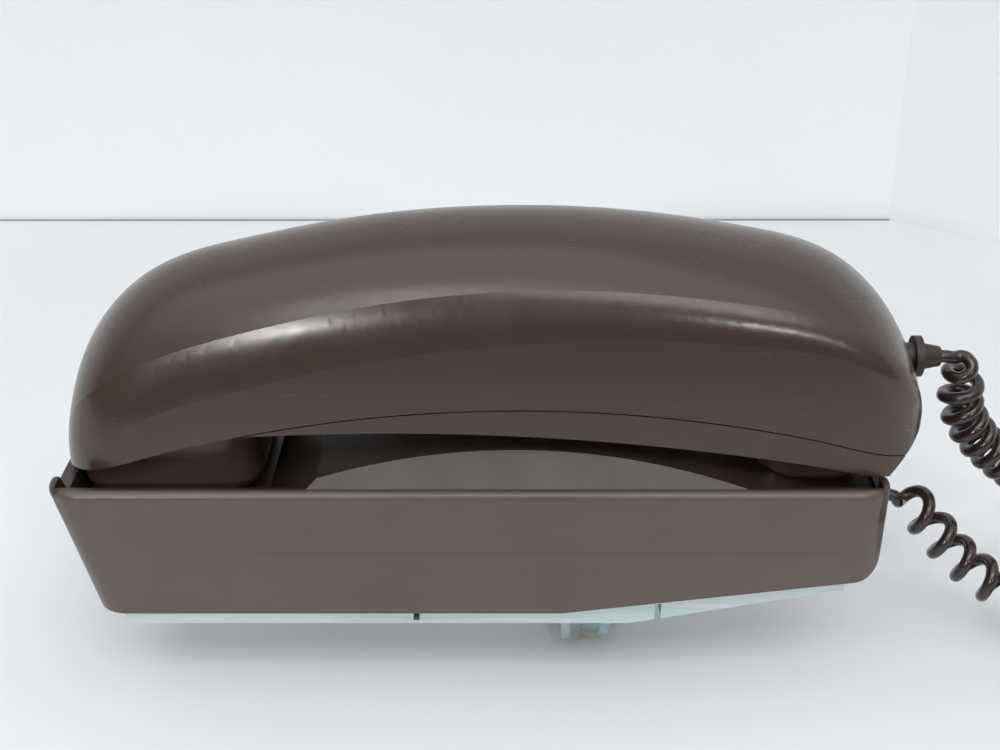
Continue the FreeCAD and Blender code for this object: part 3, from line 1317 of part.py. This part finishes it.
def self_gap(spine):
    """The least clear gap between stretches of the cord that aren't neighbours."""
    step = 1.0
    points = spine.discretize(Distance=step)
    thick = 2 * size("cord_radius")
    skip = int(2.2 * thick / step) + 1
    cells = {}
    best = FAR
    cell = thick * 3
    for i, p in enumerate(points):
        cells.setdefault((int(p.x // cell), int(p.y // cell), int(p.z // cell)), []).append(i)
    for i, p in enumerate(points):
        home = (int(p.x // cell), int(p.y // cell), int(p.z // cell))
        for dx in (-1, 0, 1):
            for dy in (-1, 0, 1):
                for dz in (-1, 0, 1):
                    for j in cells.get((home[0] + dx, home[1] + dy, home[2] + dz), ()):
                        if j > i + skip:
                            best = min(best, (points[j] - p).Length)
    return best - thick


# Build

base_housing()
wall_plate()
plate_screws()
plug_parts()
hook_parts()
ringer_parts()
volume_lever()
network_parts()
outer_form = made("handset_outer", handset_form(0))
handset_back(outer_form)
handset_face(outer_form)
keypad_parts()
capsules()
handset_screws()
grommets()
curly_cord()
doc.recompute()

bad = [obj.Name for obj in doc.Objects if "Invalid" in obj.State or "Error" in obj.State]
for label, obj in NODES:
    if obj.Shape.isNull() or not obj.Shape.isValid():
        bad.append(label)
if bad:
    raise SystemExit("failed: " + ", ".join(bad))

os.makedirs("parts", exist_ok=True)
for label, obj in NODES:
    obj.Shape.exportStep("parts/%s.step" % label)
    print(label, len(obj.Shape.Solids), "solids", round(obj.Shape.Volume, 1), "mm3")
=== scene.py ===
# %% [markdown]
# A slimline wall phone lies on its back on a pale table. The solids come from the CAD frame, at
# their real size and place. What is left for Blender is what solids can't hold: the finish of each
# plastic and metal, the printed numbers, the soft curly cord, the table, the light and the camera.

# %% Load the phone's solids
import math

import bpy
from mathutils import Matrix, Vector


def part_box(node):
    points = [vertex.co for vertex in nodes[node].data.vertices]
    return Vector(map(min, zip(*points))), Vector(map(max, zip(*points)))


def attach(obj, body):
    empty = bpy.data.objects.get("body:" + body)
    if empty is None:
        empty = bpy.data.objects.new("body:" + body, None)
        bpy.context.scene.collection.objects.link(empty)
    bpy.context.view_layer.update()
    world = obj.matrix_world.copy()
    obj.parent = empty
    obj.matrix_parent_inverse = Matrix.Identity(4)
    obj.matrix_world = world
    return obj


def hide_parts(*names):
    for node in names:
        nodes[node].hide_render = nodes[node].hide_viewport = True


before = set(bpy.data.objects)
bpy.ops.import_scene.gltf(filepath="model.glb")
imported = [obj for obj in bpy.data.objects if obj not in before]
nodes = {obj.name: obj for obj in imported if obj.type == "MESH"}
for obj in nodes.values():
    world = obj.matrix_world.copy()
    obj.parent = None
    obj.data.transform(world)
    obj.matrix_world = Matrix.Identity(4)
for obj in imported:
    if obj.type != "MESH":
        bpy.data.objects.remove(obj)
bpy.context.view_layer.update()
TABLE = -0.023
print("pieces in the frame:", len(nodes))


def add_object(name, data):
    """A new object in the scene."""
    made = bpy.data.objects.new(name, data)
    bpy.context.scene.collection.objects.link(made)
    return made


# %% [markdown]
# The photograph was taken from in front of the phone's long side, looking down at 26 degrees. A
# long lens keeps the base's corners nearly upright, so a lens of 55 mm is used from 0.43 m away.

# %% Camera
eye = bpy.data.cameras.new("eye")
eye.lens = 55.1
eye.sensor_width = 36.0
eye.clip_start = 0.01
camera = add_object("camera", eye)
camera.location = (-0.0237, -0.3602, 0.2322)
camera.rotation_euler = (math.radians(64.0), 0.0, 0.0)
bpy.context.scene.camera = camera
print("camera stands", round(camera.location.z - TABLE, 3), "m above the table")

# %% [markdown]
# Every finish below is a small tree of nodes on Object coordinates, which are metres in the phone's
# own frame. These helpers build what the trees share: a shader to start from, a noise, a stretched
# place, a blend of two colours, a change of range and one step of arithmetic.

# %% Helpers for the finishes
def new_finish(name):
    """A material, its tree, its shader and the Object coordinates."""
    finish = bpy.data.materials.new(name)
    finish.use_nodes = True
    tree = finish.node_tree
    place = tree.nodes.new("ShaderNodeTexCoord")
    return finish, tree, tree.nodes["Principled BSDF"], place.outputs["Object"]


def noise(tree, where, scale, detail, roughness=0.5):
    """Noise from 0 to 1 over a place."""
    cloud = tree.nodes.new("ShaderNodeTexNoise")
    cloud.inputs["Scale"].default_value = scale
    cloud.inputs["Detail"].default_value = detail
    cloud.inputs["Roughness"].default_value = roughness
    tree.links.new(where, cloud.inputs["Vector"])
    return cloud.outputs["Fac"]


def stretched(tree, where, scales, turn=(0.0, 0.0, 0.0)):
    """A place that is scaled unevenly, so that noise over it becomes lines."""
    stretch = tree.nodes.new("ShaderNodeMapping")
    stretch.inputs["Scale"].default_value = scales
    stretch.inputs["Rotation"].default_value = turn
    tree.links.new(where, stretch.inputs["Vector"])
    return stretch.outputs["Vector"]


def blend_colours(tree, share, first, second):
    """A ramp from one colour to another, driven by a share from 0 to 1."""
    ramp = tree.nodes.new("ShaderNodeValToRGB")
    ramp.color_ramp.elements[0].color = tuple(first) + (1,)
    ramp.color_ramp.elements[1].color = tuple(second) + (1,)
    tree.links.new(share, ramp.inputs["Fac"])
    return ramp.outputs["Color"]


def spread(tree, share, low, high, start=0.0, end=1.0):
    """Spread a share over a range of values."""
    scale = tree.nodes.new("ShaderNodeMapRange")
    scale.inputs["From Min"].default_value = start
    scale.inputs["From Max"].default_value = end
    scale.inputs["To Min"].default_value = low
    scale.inputs["To Max"].default_value = high
    tree.links.new(share, scale.inputs["Value"])
    return scale.outputs["Result"]


def calculate(tree, operation, *values, clamp=False):
    """One step of arithmetic on outputs of nodes, or on plain numbers."""
    step = tree.nodes.new("ShaderNodeMath")
    step.operation = operation
    step.use_clamp = clamp
    for socket, value in zip(step.inputs, values):
        if isinstance(value, float):
            socket.default_value = value
        else:
            tree.links.new(value, socket)
    return step.outputs["Value"]


print("helpers are ready")

# %% [markdown]
# The phone lies on a white table with a white wall behind it. The table's far edge shows as a thin
# grey line, and the wall turns a corner at the right. All are flat sheets, which aren't part of the
# phone. The table ends a hand's width before the camera: the side of the handset mirrors the dim
# room beyond that edge, which is why it looks dark above a paler strip.

# %% Paint for the table and the wall
RAYS_THAT_SEE_GLOW = ("Is Camera Ray", "Is Glossy Ray", "Is Transmission Ray")


def painted_surface(name, colour, rough, cloudiness, scale, glow=0.0):
    """Uneven paint. A glow is light that only the camera and mirrors see, so it lights no piece."""
    paint, tree, shader, where = new_finish(name)
    shader.inputs["Roughness"].default_value = rough
    darker = [channel * (1 - cloudiness) for channel in colour]
    shades = blend_colours(tree, noise(tree, where, scale, 3.0), darker, colour)
    tree.links.new(shades, shader.inputs["Base Color"])
    if glow:
        path = tree.nodes.new("ShaderNodeLightPath")
        from_camera, from_mirror, from_glass = [path.outputs[kind] for kind in RAYS_THAT_SEE_GLOW]
        seen = calculate(tree, "ADD", from_camera, from_mirror, clamp=True)
        seen = calculate(tree, "ADD", seen, from_glass, clamp=True)
        tree.links.new(shades, shader.inputs["Emission Color"])
        tree.links.new(calculate(tree, "MULTIPLY", seen, glow), shader.inputs["Emission Strength"])
    return paint


table_paint = painted_surface("white table", (0.78, 0.79, 0.80), 0.5, 0.03, 4.0)
wall_paint = painted_surface("white wall", (0.86, 0.88, 0.89), 0.8, 0.03, 9.0, glow=0.04)
joint_paint = painted_surface("grey joint", (0.36, 0.37, 0.37), 0.7, 0.3, 60.0)
print("three paints")

# %% Table and wall
TABLE_SIDE = 2.5
TABLE_FRONT = -0.25
TABLE_BACK = 0.36
WALL_LEFT = (-2.5, 0.329)
WALL_CORNER = (0.163, 0.333)
WALL_RIGHT = (0.9, -0.225)
WALL_TOP = 1.4
JOINT_HIGH = 0.0008
JOINT_AHEAD = 0.001


def stage_sheet(name, corners, paint):
    mesh = bpy.data.meshes.new(name)
    mesh.from_pydata(corners, [], [(0, 1, 2, 3)])
    sheet = add_object(name, mesh)
    sheet.data.materials.append(paint)


def standing_sheet(name, start, end, high, paint):
    """A sheet that stands on the table, over the line from start to end."""
    corners = [(*start, TABLE), (*end, TABLE), (*end, high), (*start, high)]
    stage_sheet(name, corners, paint)


table_corners = [
    (-TABLE_SIDE, TABLE_FRONT, TABLE),
    (TABLE_SIDE, TABLE_FRONT, TABLE),
    (TABLE_SIDE, TABLE_BACK, TABLE),
    (-TABLE_SIDE, TABLE_BACK, TABLE),
]
joint_start, joint_end = [(x, y - JOINT_AHEAD) for x, y in (WALL_LEFT, WALL_CORNER)]
stage_sheet("table", table_corners, table_paint)
standing_sheet("wall", WALL_LEFT, WALL_CORNER, WALL_TOP, wall_paint)
standing_sheet("side wall", WALL_CORNER, WALL_RIGHT, WALL_TOP, wall_paint)
standing_sheet("joint", joint_start, joint_end, TABLE + JOINT_HIGH, joint_paint)
print("table, wall and side wall are in place")

# %% [markdown]
# The light in the photograph is that of a room with a wide bright ceiling and dim walls. The world
# has that shape: dark from below up to about 25 degrees, and brightest overhead. A large panel
# above the camera keeps the table in front of the phone free of a heavy shadow. Two small lamps
# behind the camera draw the two white streaks on the handset's shoulder, and a weak one from the
# right lights the handset's end. To the camera alone the room beyond the stage is plain and pale.

# %% Room light
ROOM_BANDS = [
    (0.0, (0.030, 0.030, 0.030)),
    (0.03, (0.10, 0.10, 0.10)),
    (0.40, (0.15, 0.15, 0.15)),
    (0.62, (0.60, 0.61, 0.62)),
    (0.85, (1.66, 1.68, 1.70)),
    (1.0, (1.86, 1.88, 1.90)),
]
ROOM_STRENGTH = 0.82
PALE_ROOM = (0.78, 0.80, 0.81, 1)

world = bpy.data.worlds.new("room")
bpy.context.scene.world = world
world.use_nodes = True
room = world.node_tree
lit_room = room.nodes["Background"]
direction = room.nodes.new("ShaderNodeTexCoord")
axes = room.nodes.new("ShaderNodeSeparateXYZ")
bands = room.nodes.new("ShaderNodeValToRGB")
for at, shade in ROOM_BANDS[1:-1]:
    bands.color_ramp.elements.new(at)
for element, (at, shade) in zip(bands.color_ramp.elements, ROOM_BANDS):
    element.position = at
    element.color = shade + (1,)
room.links.new(direction.outputs["Generated"], axes.inputs["Vector"])
room.links.new(axes.outputs["Z"], bands.inputs["Fac"])
room.links.new(bands.outputs["Color"], lit_room.inputs["Color"])
lit_room.inputs["Strength"].default_value = ROOM_STRENGTH
pale_room = room.nodes.new("ShaderNodeBackground")
pale_room.inputs["Color"].default_value = PALE_ROOM
path = room.nodes.new("ShaderNodeLightPath")
either = room.nodes.new("ShaderNodeMixShader")
room.links.new(path.outputs["Is Camera Ray"], either.inputs["Fac"])
room.links.new(lit_room.outputs["Background"], either.inputs[1])
room.links.new(pale_room.outputs["Background"], either.inputs[2])
room.links.new(either.outputs["Shader"], room.nodes["World Output"].inputs["Surface"])
bpy.context.scene.view_settings.view_transform = "Standard"
print("the room has", len(ROOM_BANDS), "bands of light")

# %% Lamps
# name, place, the point it is aimed at, width, depth, watts
LAMPS = [
    ("front panel", (0.0, -1.25, 1.60), (0.0, 0.0, 0.0), 1.8, 0.7, 15.0),
    ("left lamp", (-0.46, -1.10, 0.50), (-0.06, 0.0, 0.06), 0.13, 0.06, 3.4),
    ("right lamp", (0.40, -1.10, 0.50), (0.03, 0.0, 0.06), 0.09, 0.05, 1.5),
    ("end lamp", (0.95, 0.05, 0.45), (0.08, 0.0, 0.06), 0.5, 0.4, 1.0),
]

for name, place, target, width, depth, watts in LAMPS:
    lamp = bpy.data.lights.new(name, "AREA")
    lamp.shape = "RECTANGLE"
    lamp.size = width
    lamp.size_y = depth
    lamp.energy = watts
    holder = add_object(name, lamp)
    holder.location = place
    aim = Vector(target) - Vector(place)
    holder.rotation_euler = aim.to_track_quat("-Z", "Y").to_euler()
print("lamps:", len(LAMPS))

# %% [markdown]
# Nearly every piece is moulded plastic. A mould leaves a fine, even grain, handling leaves faint
# hairlines and duller patches, and dust settles in the grain. One recipe makes them all: a noise
# for cloudiness in the colour, one for uneven gloss, stretched noise for hairlines, and a very fine
# noise as bump.

# %% Moulded plastic
GRAIN_SCALE = 5200.0
GRAIN_STRENGTH = 0.16
HAIRLINE_STRETCH = (30.0, 1400.0, 1400.0)
HAIRLINE_TURN = (0.2, 0.1, 0.35)
HAIRLINE_DULLNESS = 0.05
COAT_ROUGHNESS = 0.16


def moulded_plastic(name, colour, dull_colour, gloss_low, gloss_high, grain, coat=0.0):
    """Plastic, rubber or card. The two gloss values are roughness, and grain is its depth in metres."""
    finish, tree, shader, where = new_finish(name)
    cloud = noise(tree, where, 26.0, 4.0, 0.6)
    cloudy = blend_colours(tree, spread(tree, cloud, 0, 1, 0.3, 0.72), dull_colour, colour)
    tree.links.new(cloudy, shader.inputs["Base Color"])

    scratch = noise(tree, stretched(tree, where, HAIRLINE_STRETCH, HAIRLINE_TURN), 1.0, 2.0)
    lines = spread(tree, scratch, 0.0, HAIRLINE_DULLNESS, 0.60, 0.80)
    patches = noise(tree, where, 70.0, 5.0, 0.65)
    gloss = spread(tree, patches, gloss_low, gloss_high, 0.35, 0.7)
    tree.links.new(calculate(tree, "ADD", gloss, lines, clamp=True), shader.inputs["Roughness"])

    bump = tree.nodes.new("ShaderNodeBump")
    bump.inputs["Strength"].default_value = GRAIN_STRENGTH
    bump.inputs["Distance"].default_value = grain
    tree.links.new(noise(tree, where, GRAIN_SCALE, 1.0), bump.inputs["Height"])
    tree.links.new(bump.outputs["Normal"], shader.inputs["Normal"])
    shader.inputs["Coat Weight"].default_value = coat
    shader.inputs["Coat Roughness"].default_value = COAT_ROUGHNESS
    return finish


def finish_nodes(finish, *names):
    """Give CAD pieces a finish, in their own material slots."""
    for name in names:
        for slot in nodes[name].material_slots:
            slot.material = finish


# %% Brown plastic
KEYPAD = ("1", "2", "3", "4", "5", "6", "7", "8", "9", "star", "0", "hash")
key_names = ["key_" + mark for mark in KEYPAD]
shell_pieces = ("handset_back", "handset_face")
small_pieces = ("recall_button", "hook_plunger", "volume_lever", *key_names)

brown_shell = moulded_plastic(
    "glossy brown shell", (0.056, 0.037, 0.028), (0.051, 0.033, 0.025), 0.20, 0.28, 0.00003)
brown_base = moulded_plastic(
    "satin brown base", (0.100, 0.078, 0.066), (0.090, 0.069, 0.058), 0.30, 0.40, 0.00004)
brown_keys = moulded_plastic(
    "brown keys", (0.075, 0.053, 0.044), (0.066, 0.047, 0.038), 0.30, 0.42, 0.00003)
finish_nodes(brown_shell, *shell_pieces)
finish_nodes(brown_base, "base_housing")
finish_nodes(brown_keys, *small_pieces)
print("brown plastic on", len(shell_pieces) + 1 + len(small_pieces), "pieces")

# %% [markdown]
# The outside of the base is a greyer brown than the wells under the handset. The wells get painted
# shade, where the handset shades them: a mask in metres picks them out, inside the rim and above
# their floor, and mixes a darker colour in there, so the base stays one piece with one finish.

# %% Painted shade in the wells of the base
WELL_HALF = 0.0352
WELL_SIDE_EASE = 0.0008
WELL_FLOOR = 0.0318
WELL_FLOOR_EASE = 0.0006


def paint_shade_in_wells(finish, dark):
    tree = finish.node_tree
    shader = tree.nodes["Principled BSDF"]
    axes = tree.nodes.new("ShaderNodeSeparateXYZ")
    tree.links.new(tree.nodes["Texture Coordinate"].outputs["Object"], axes.inputs["Vector"])
    across = calculate(tree, "ABSOLUTE", axes.outputs["Y"])
    inside = spread(tree, across, 1.0, 0.0, WELL_HALF - WELL_SIDE_EASE, WELL_HALF)
    above = spread(tree, axes.outputs["Z"], 0.0, 1.0, WELL_FLOOR, WELL_FLOOR + WELL_FLOOR_EASE)
    # The mask mixes a dark colour into the wells as painted shade under the handset.
    mixed = tree.nodes.new("ShaderNodeMixRGB")
    tree.links.new(calculate(tree, "MULTIPLY", inside, above), mixed.inputs["Fac"])
    tree.links.new(shader.inputs["Base Color"].links[0].from_socket, mixed.inputs["Color1"])
    mixed.inputs["Color2"].default_value = tuple(dark) + (1,)
    tree.links.new(mixed.outputs["Color"], shader.inputs["Base Color"])


# This dark colour is painted shade for the wells under the handset.
paint_shade_in_wells(brown_base, (0.026, 0.017, 0.013))
print("wells darkened")

# %% [markdown]
# Under the base sits a pressed plate. Its zinc looks pale, a little blue and slightly streaked from
# the rolling of the sheet, with a soft gloss. Screws and frames inside are plainer steel. Metal
# needs uneven roughness more than it needs colour.

# %% Metals
ROLLED_STREAK = (30.0, 700.0, 700.0)
SPOT_SCALE = 320.0


def sheet_metal(name, colour, stain, rough_low, rough_high, metallic):
    finish, tree, shader, where = new_finish(name)
    shader.inputs["Metallic"].default_value = metallic
    rolled = noise(tree, stretched(tree, where, ROLLED_STREAK), 1.0, 3.0)
    colours = blend_colours(tree, spread(tree, rolled, 0, 1, 0.35, 0.65), stain, colour)
    tree.links.new(colours, shader.inputs["Base Color"])
    spots = tree.nodes.new("ShaderNodeTexVoronoi")
    spots.inputs["Scale"].default_value = SPOT_SCALE
    tree.links.new(where, spots.inputs["Vector"])
    rough = spread(tree, spots.outputs["Distance"], rough_low, rough_high, 0.0, 0.6)
    tree.links.new(rough, shader.inputs["Roughness"])
    return finish


# name, colour, stain, least and most roughness, share of metal, pieces
METALS = [
    ("zinc plate", (0.60, 0.69, 0.69), (0.50, 0.60, 0.60), 0.32, 0.46, 0.5, ["wall_plate"]),
    ("plain steel", (0.60, 0.59, 0.57), (0.50, 0.49, 0.47), 0.28, 0.42, 1.0,
     ["plate_screws", "ringer_frame", "ringer_core", "gong_screw", "board_screws", "clapper",
      "handset_screws"]),
    ("bright bell metal", (0.74, 0.72, 0.66), (0.70, 0.68, 0.62), 0.10, 0.16, 1.0, ["gong"]),
    ("brass", (0.75, 0.57, 0.26), (0.66, 0.48, 0.20), 0.22, 0.34, 1.0,
     ["hook_contacts", "terminal_screws"]),
    ("gold contacts", (0.93, 0.72, 0.33), (0.88, 0.66, 0.28), 0.14, 0.22, 1.0, ["plug_contacts"]),
]

for *recipe, pieces in METALS:
    finish_nodes(sheet_metal(*recipe), *pieces)
print("metals:", len(METALS))

# %% [markdown]
# The plug sits in a clear block. Clear plastic is seen by its edges and by what bends through it,
# so it gets transmission with a slight blue tint, and the plug in it a slight yellow one, as old
# clear plastic takes on.

# %% Clear plastics
ACRYLIC_IOR = 1.49
FLOW_SCALE = 210.0


def clear_plastic(name, tint, transmission, rough):
    finish, tree, shader, where = new_finish(name)
    shader.inputs["Transmission Weight"].default_value = transmission
    shader.inputs["IOR"].default_value = ACRYLIC_IOR
    flow = noise(tree, where, FLOW_SCALE, 3.0)
    shade = blend_colours(tree, flow, [channel * 0.9 for channel in tint], tint)
    tree.links.new(shade, shader.inputs["Base Color"])
    uneven = spread(tree, flow, rough, rough + 0.12, 0.35, 0.7)
    tree.links.new(uneven, shader.inputs["Roughness"])
    return finish


# name, tint, transmission, least roughness, piece
CLEAR_PLASTICS = [
    ("clear block", (0.72, 0.84, 0.86), 0.75, 0.12, "plug_carrier"),
    ("clear plug", (0.90, 0.92, 0.72), 0.55, 0.10, "modular_plug"),
    ("card window", (0.95, 0.96, 0.96), 1.0, 0.03, "card_window"),
]

for *recipe, piece in CLEAR_PLASTICS:
    finish_nodes(clear_plastic(*recipe), piece)
print("clear plastics:", len(CLEAR_PLASTICS))

# %% [markdown]
# The inner pieces show only when the phone is opened or seen from below, but each gets its own
# finish: laminate board, black moulded bobbins, lacquered copper, rubber and card.

# %% Inner pieces
# name, colour, duller colour, least and most roughness, depth of grain, pieces
INNER_FINISHES = [
    ("laminate board", (0.42, 0.31, 0.15), (0.36, 0.26, 0.12), 0.45, 0.60, 0.00003,
     ["network_board", "keypad_board"]),
    ("black mouldings", (0.022, 0.022, 0.023), (0.017, 0.017, 0.018), 0.38, 0.52, 0.00003,
     ["hook_switch_frame", "network_transformer", "receiver", "transmitter"]),
    ("capacitor wrap", (0.18, 0.09, 0.05), (0.15, 0.075, 0.04), 0.30, 0.45, 0.00001,
     ["network_capacitors"]),
    ("paper card", (0.82, 0.80, 0.73), (0.76, 0.74, 0.66), 0.75, 0.85, 0.00004, ["number_card"]),
    ("grey rubber mat", (0.13, 0.13, 0.13), (0.11, 0.11, 0.11), 0.60, 0.72, 0.00004, ["key_mat"]),
    ("black rubber", (0.030, 0.022, 0.019), (0.024, 0.018, 0.015), 0.42, 0.55, 0.00003,
     ["receiver_ring", "base_cord_grommet", "handset_cord_grommet"]),
]

for *recipe, pieces in INNER_FINISHES:
    finish_nodes(moulded_plastic(*recipe), *pieces)
print("inner finishes:", len(INNER_FINISHES))

# %% The ringer's coil
RINGS_SCALE = 150.0
RING_DEPTH = 0.0001


def wound_wire(name, colour, gap_colour):
    """Lacquered wire wound in rings about the coil's own axis, which runs along Y."""
    finish = moulded_plastic(name, colour, gap_colour, 0.25, 0.4, 0.00001)
    tree = finish.node_tree
    rings = tree.nodes.new("ShaderNodeTexWave")
    rings.bands_direction = "Y"
    rings.inputs["Scale"].default_value = RINGS_SCALE
    rings.inputs["Distortion"].default_value = 0.15
    tree.links.new(tree.nodes["Texture Coordinate"].outputs["Object"], rings.inputs["Vector"])
    bump = tree.nodes["Bump"]
    bump.inputs["Distance"].default_value = RING_DEPTH
    bump.inputs["Strength"].default_value = 0.8
    tree.links.new(rings.outputs["Fac"], bump.inputs["Height"])
    return finish


copper = wound_wire("lacquered copper wire", (0.45, 0.17, 0.06), (0.30, 0.10, 0.03))
finish_nodes(copper, "ringer_coil")
print("coil is finished")

# %% [markdown]
# Each key carries one plain printed mark: a number, a star or a hash. A mark is a flat text, made a
# mesh with hardly any thickness, and laid on the key's lowest face. The keys look at the wall, so
# the marks are turned to read from below, with the ear end up. A star sits high in its line, so it
# is set larger and lower than a number.

# %% Marks on the keys
MARKS = {"key_star": "*", "key_hash": "#"}
MARK_SIZE = 0.0072
STAR_SIZE = 0.010
STAR_DROP = 0.0012
INK_THICK = 0.00004
INK_CLEAR = 0.00003
mark_ink = moulded_plastic(
    "white key marks", (0.80, 0.79, 0.74), (0.72, 0.71, 0.66), 0.5, 0.6, 0.00001)


def print_mark(key_name):
    is_star = key_name == "key_star"
    low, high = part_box(key_name)
    middle = (low + high) / 2
    bpy.ops.object.select_all(action="DESELECT")
    bpy.ops.object.text_add(location=(0, 0, 0))
    mark = bpy.context.active_object
    mark.data.body = MARKS.get(key_name, key_name[-1])
    mark.data.size = STAR_SIZE if is_star else MARK_SIZE
    mark.data.align_x = "CENTER"
    mark.data.align_y = "CENTER"
    mark.data.extrude = INK_THICK
    bpy.ops.object.convert(target="MESH")
    mark = bpy.context.active_object
    drop = STAR_DROP if is_star else 0.0
    for corner in mark.data.vertices:
        x, y, z = corner.co
        corner.co = (middle.x - y + drop, middle.y - x, low.z - INK_CLEAR - z)
    mark.data.update()
    mark.name = mark.data.name = key_name + "_mark"
    mark.data.materials.clear()
    mark.data.materials.append(mark_ink)
    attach(mark, key_name)
    return mark


marks = [print_mark(key_name) for key_name in key_names]
print("marks printed:", len(marks))

# %% [markdown]
# The cord is one wire wound into a spring. Its middle line leaves the handset, drops to the table,
# turns round in a loop beyond the photograph's edge and climbs back to the base. The wire circles
# that line: closely where the coil is relaxed, and further apart where it is pulled near the base.

# %% Middle line of the curly cord
WIRE = 0.0017
CURL = 0.0045
route = [
    (0.0906, 0.0, 0.0620),
    (0.0991, 0.0, 0.0620),
    (0.0970, 0.002, 0.0490),
    (0.1050, 0.003, 0.0350),
    (0.1230, 0.007, 0.0200),
    (0.1470, 0.014, 0.0000),
    (0.1700, 0.018, -0.0168),
    (0.1920, 0.008, -0.0168),
    (0.1920, -0.014, -0.0168),
    (0.1720, -0.025, -0.0168),
    (0.1440, -0.020, -0.0158),
    (0.1190, -0.008, -0.0090),
    (0.1010, -0.004, 0.0030),
    (0.0877, 0.0, 0.0206),
    (0.0797, 0.0, 0.0206),
]


def line_length(line):
    return sum((b - a).length for a, b in zip(line, line[1:]))


def nurbs_object(name, points, order, resolution):
    """A NURBS spline near a row of points, which starts at the first and ends at the last."""
    curve = bpy.data.curves.new(name, "CURVE")
    curve.dimensions = "3D"
    spline = curve.splines.new("NURBS")
    spline.points.add(len(points) - 1)
    for knot, point in zip(spline.points, points):
        knot.co = tuple(point) + (1.0,)
    spline.order_u = order
    spline.use_endpoint_u = True
    spline.resolution_u = resolution
    return add_object(name, curve)


def smooth_line(name, points):
    """The points of a smooth line along a route, read from the curve itself."""
    holder = nurbs_object(name, points, 3, 24)
    line = bpy.data.meshes.new_from_object(holder)
    found = [corner.co.copy() for corner in line.vertices]
    bpy.data.objects.remove(holder)
    return found


middle_line = smooth_line("cord middle line", route)
print("middle line:", round(line_length(middle_line), 3), "m")

# %% Even steps along the middle line
CORD_STEPS = 2400


def even_steps(line, count):
    """Points at even distances along a line, each with its direction."""
    lengths = [0.0]
    for a, b in zip(line, line[1:]):
        lengths.append(lengths[-1] + (b - a).length)
    total = lengths[-1]
    steps = []
    at = 0
    for i in range(count + 1):
        want = total * i / count
        while at < len(lengths) - 2 and lengths[at + 1] < want:
            at += 1
        share = (want - lengths[at]) / max(lengths[at + 1] - lengths[at], 1e-9)
        steps.append(line[at].lerp(line[at + 1], min(max(share, 0.0), 1.0)))
    ways = []
    for i in range(count + 1):
        ways.append((steps[min(i + 1, count)] - steps[max(i - 1, 0)]).normalized())
    return total, steps, ways


cord_run, centres, ways = even_steps(middle_line, CORD_STEPS)
print("steps along the cord:", len(centres))

# %% Wind the wire round the middle line
LEAD = 0.0036
RAMP = 0.006
CLOSED_PITCH = 0.0048
CLOSED_RUN = 0.078
LOOSE_PITCH = 0.0064
PULLED_PITCH = 0.0082
PULLED_RUN = 0.044
PITCH_EASE = 0.012


def smooth_share(value):
    value = min(max(value, 0.0), 1.0)
    return value * value * (3 - 2 * value)


def pitch_at(distance, total):
    """How far one curl is from the next: closed, then looser in the loop, then pulled open."""
    pitch = CLOSED_PITCH
    for begin, wanted in ((CLOSED_RUN, LOOSE_PITCH), (total - PULLED_RUN, PULLED_PITCH)):
        share = (distance - begin) / PITCH_EASE + 0.5
        pitch += (wanted - pitch) * min(max(share, 0.0), 1.0)
    return pitch


def wind_wire(centres, ways, total):
    """The wire's own line: straight over the lead at both ends, and curls that swell in between."""
    side = Vector((0, 0, 1)).cross(ways[0]).normalized()
    step = total / (len(centres) - 1)
    angle = 0.0
    wire = []
    for i, (centre, way) in enumerate(zip(centres, ways)):
        distance = i * step
        side = (side - way * side.dot(way)).normalized()
        up = way.cross(side)
        swell = smooth_share(min((distance - LEAD) / RAMP, (total - LEAD - distance) / RAMP))
        bend = way.angle(ways[max(i - 1, 0)], 0.0) / step
        pitch = pitch_at(distance, total) / max(1 - CURL * bend, 0.35)
        if LEAD < distance < total - LEAD:
            angle += 2 * math.pi * step / pitch
        radius = CURL * swell
        wire.append(centre + side * (radius * math.cos(angle)) + up * (radius * math.sin(angle)))
    return wire, angle / (2 * math.pi)


wire_line, curls = wind_wire(centres, ways, cord_run)
print("curls:", round(curls, 1))

# %% The curly cord as one curve
KEEP_EVERY = 3


def cord_curve(name, line, radius, finish):
    kept = line[::KEEP_EVERY] + [line[-1]]
    cord = nurbs_object(name, kept, 4, 3)
    cord.data.bevel_depth = radius
    cord.data.bevel_resolution = 4
    cord.data.use_fill_caps = True
    cord.data.materials.append(finish)
    return cord


cord_jacket = moulded_plastic(
    "cord jacket", (0.026, 0.016, 0.013), (0.020, 0.012, 0.010), 0.22, 0.34, 0.00002, coat=0.3)
cord = cord_curve("curly_cord", wire_line, WIRE, cord_jacket)
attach(cord, "base")
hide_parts("handset_cord")
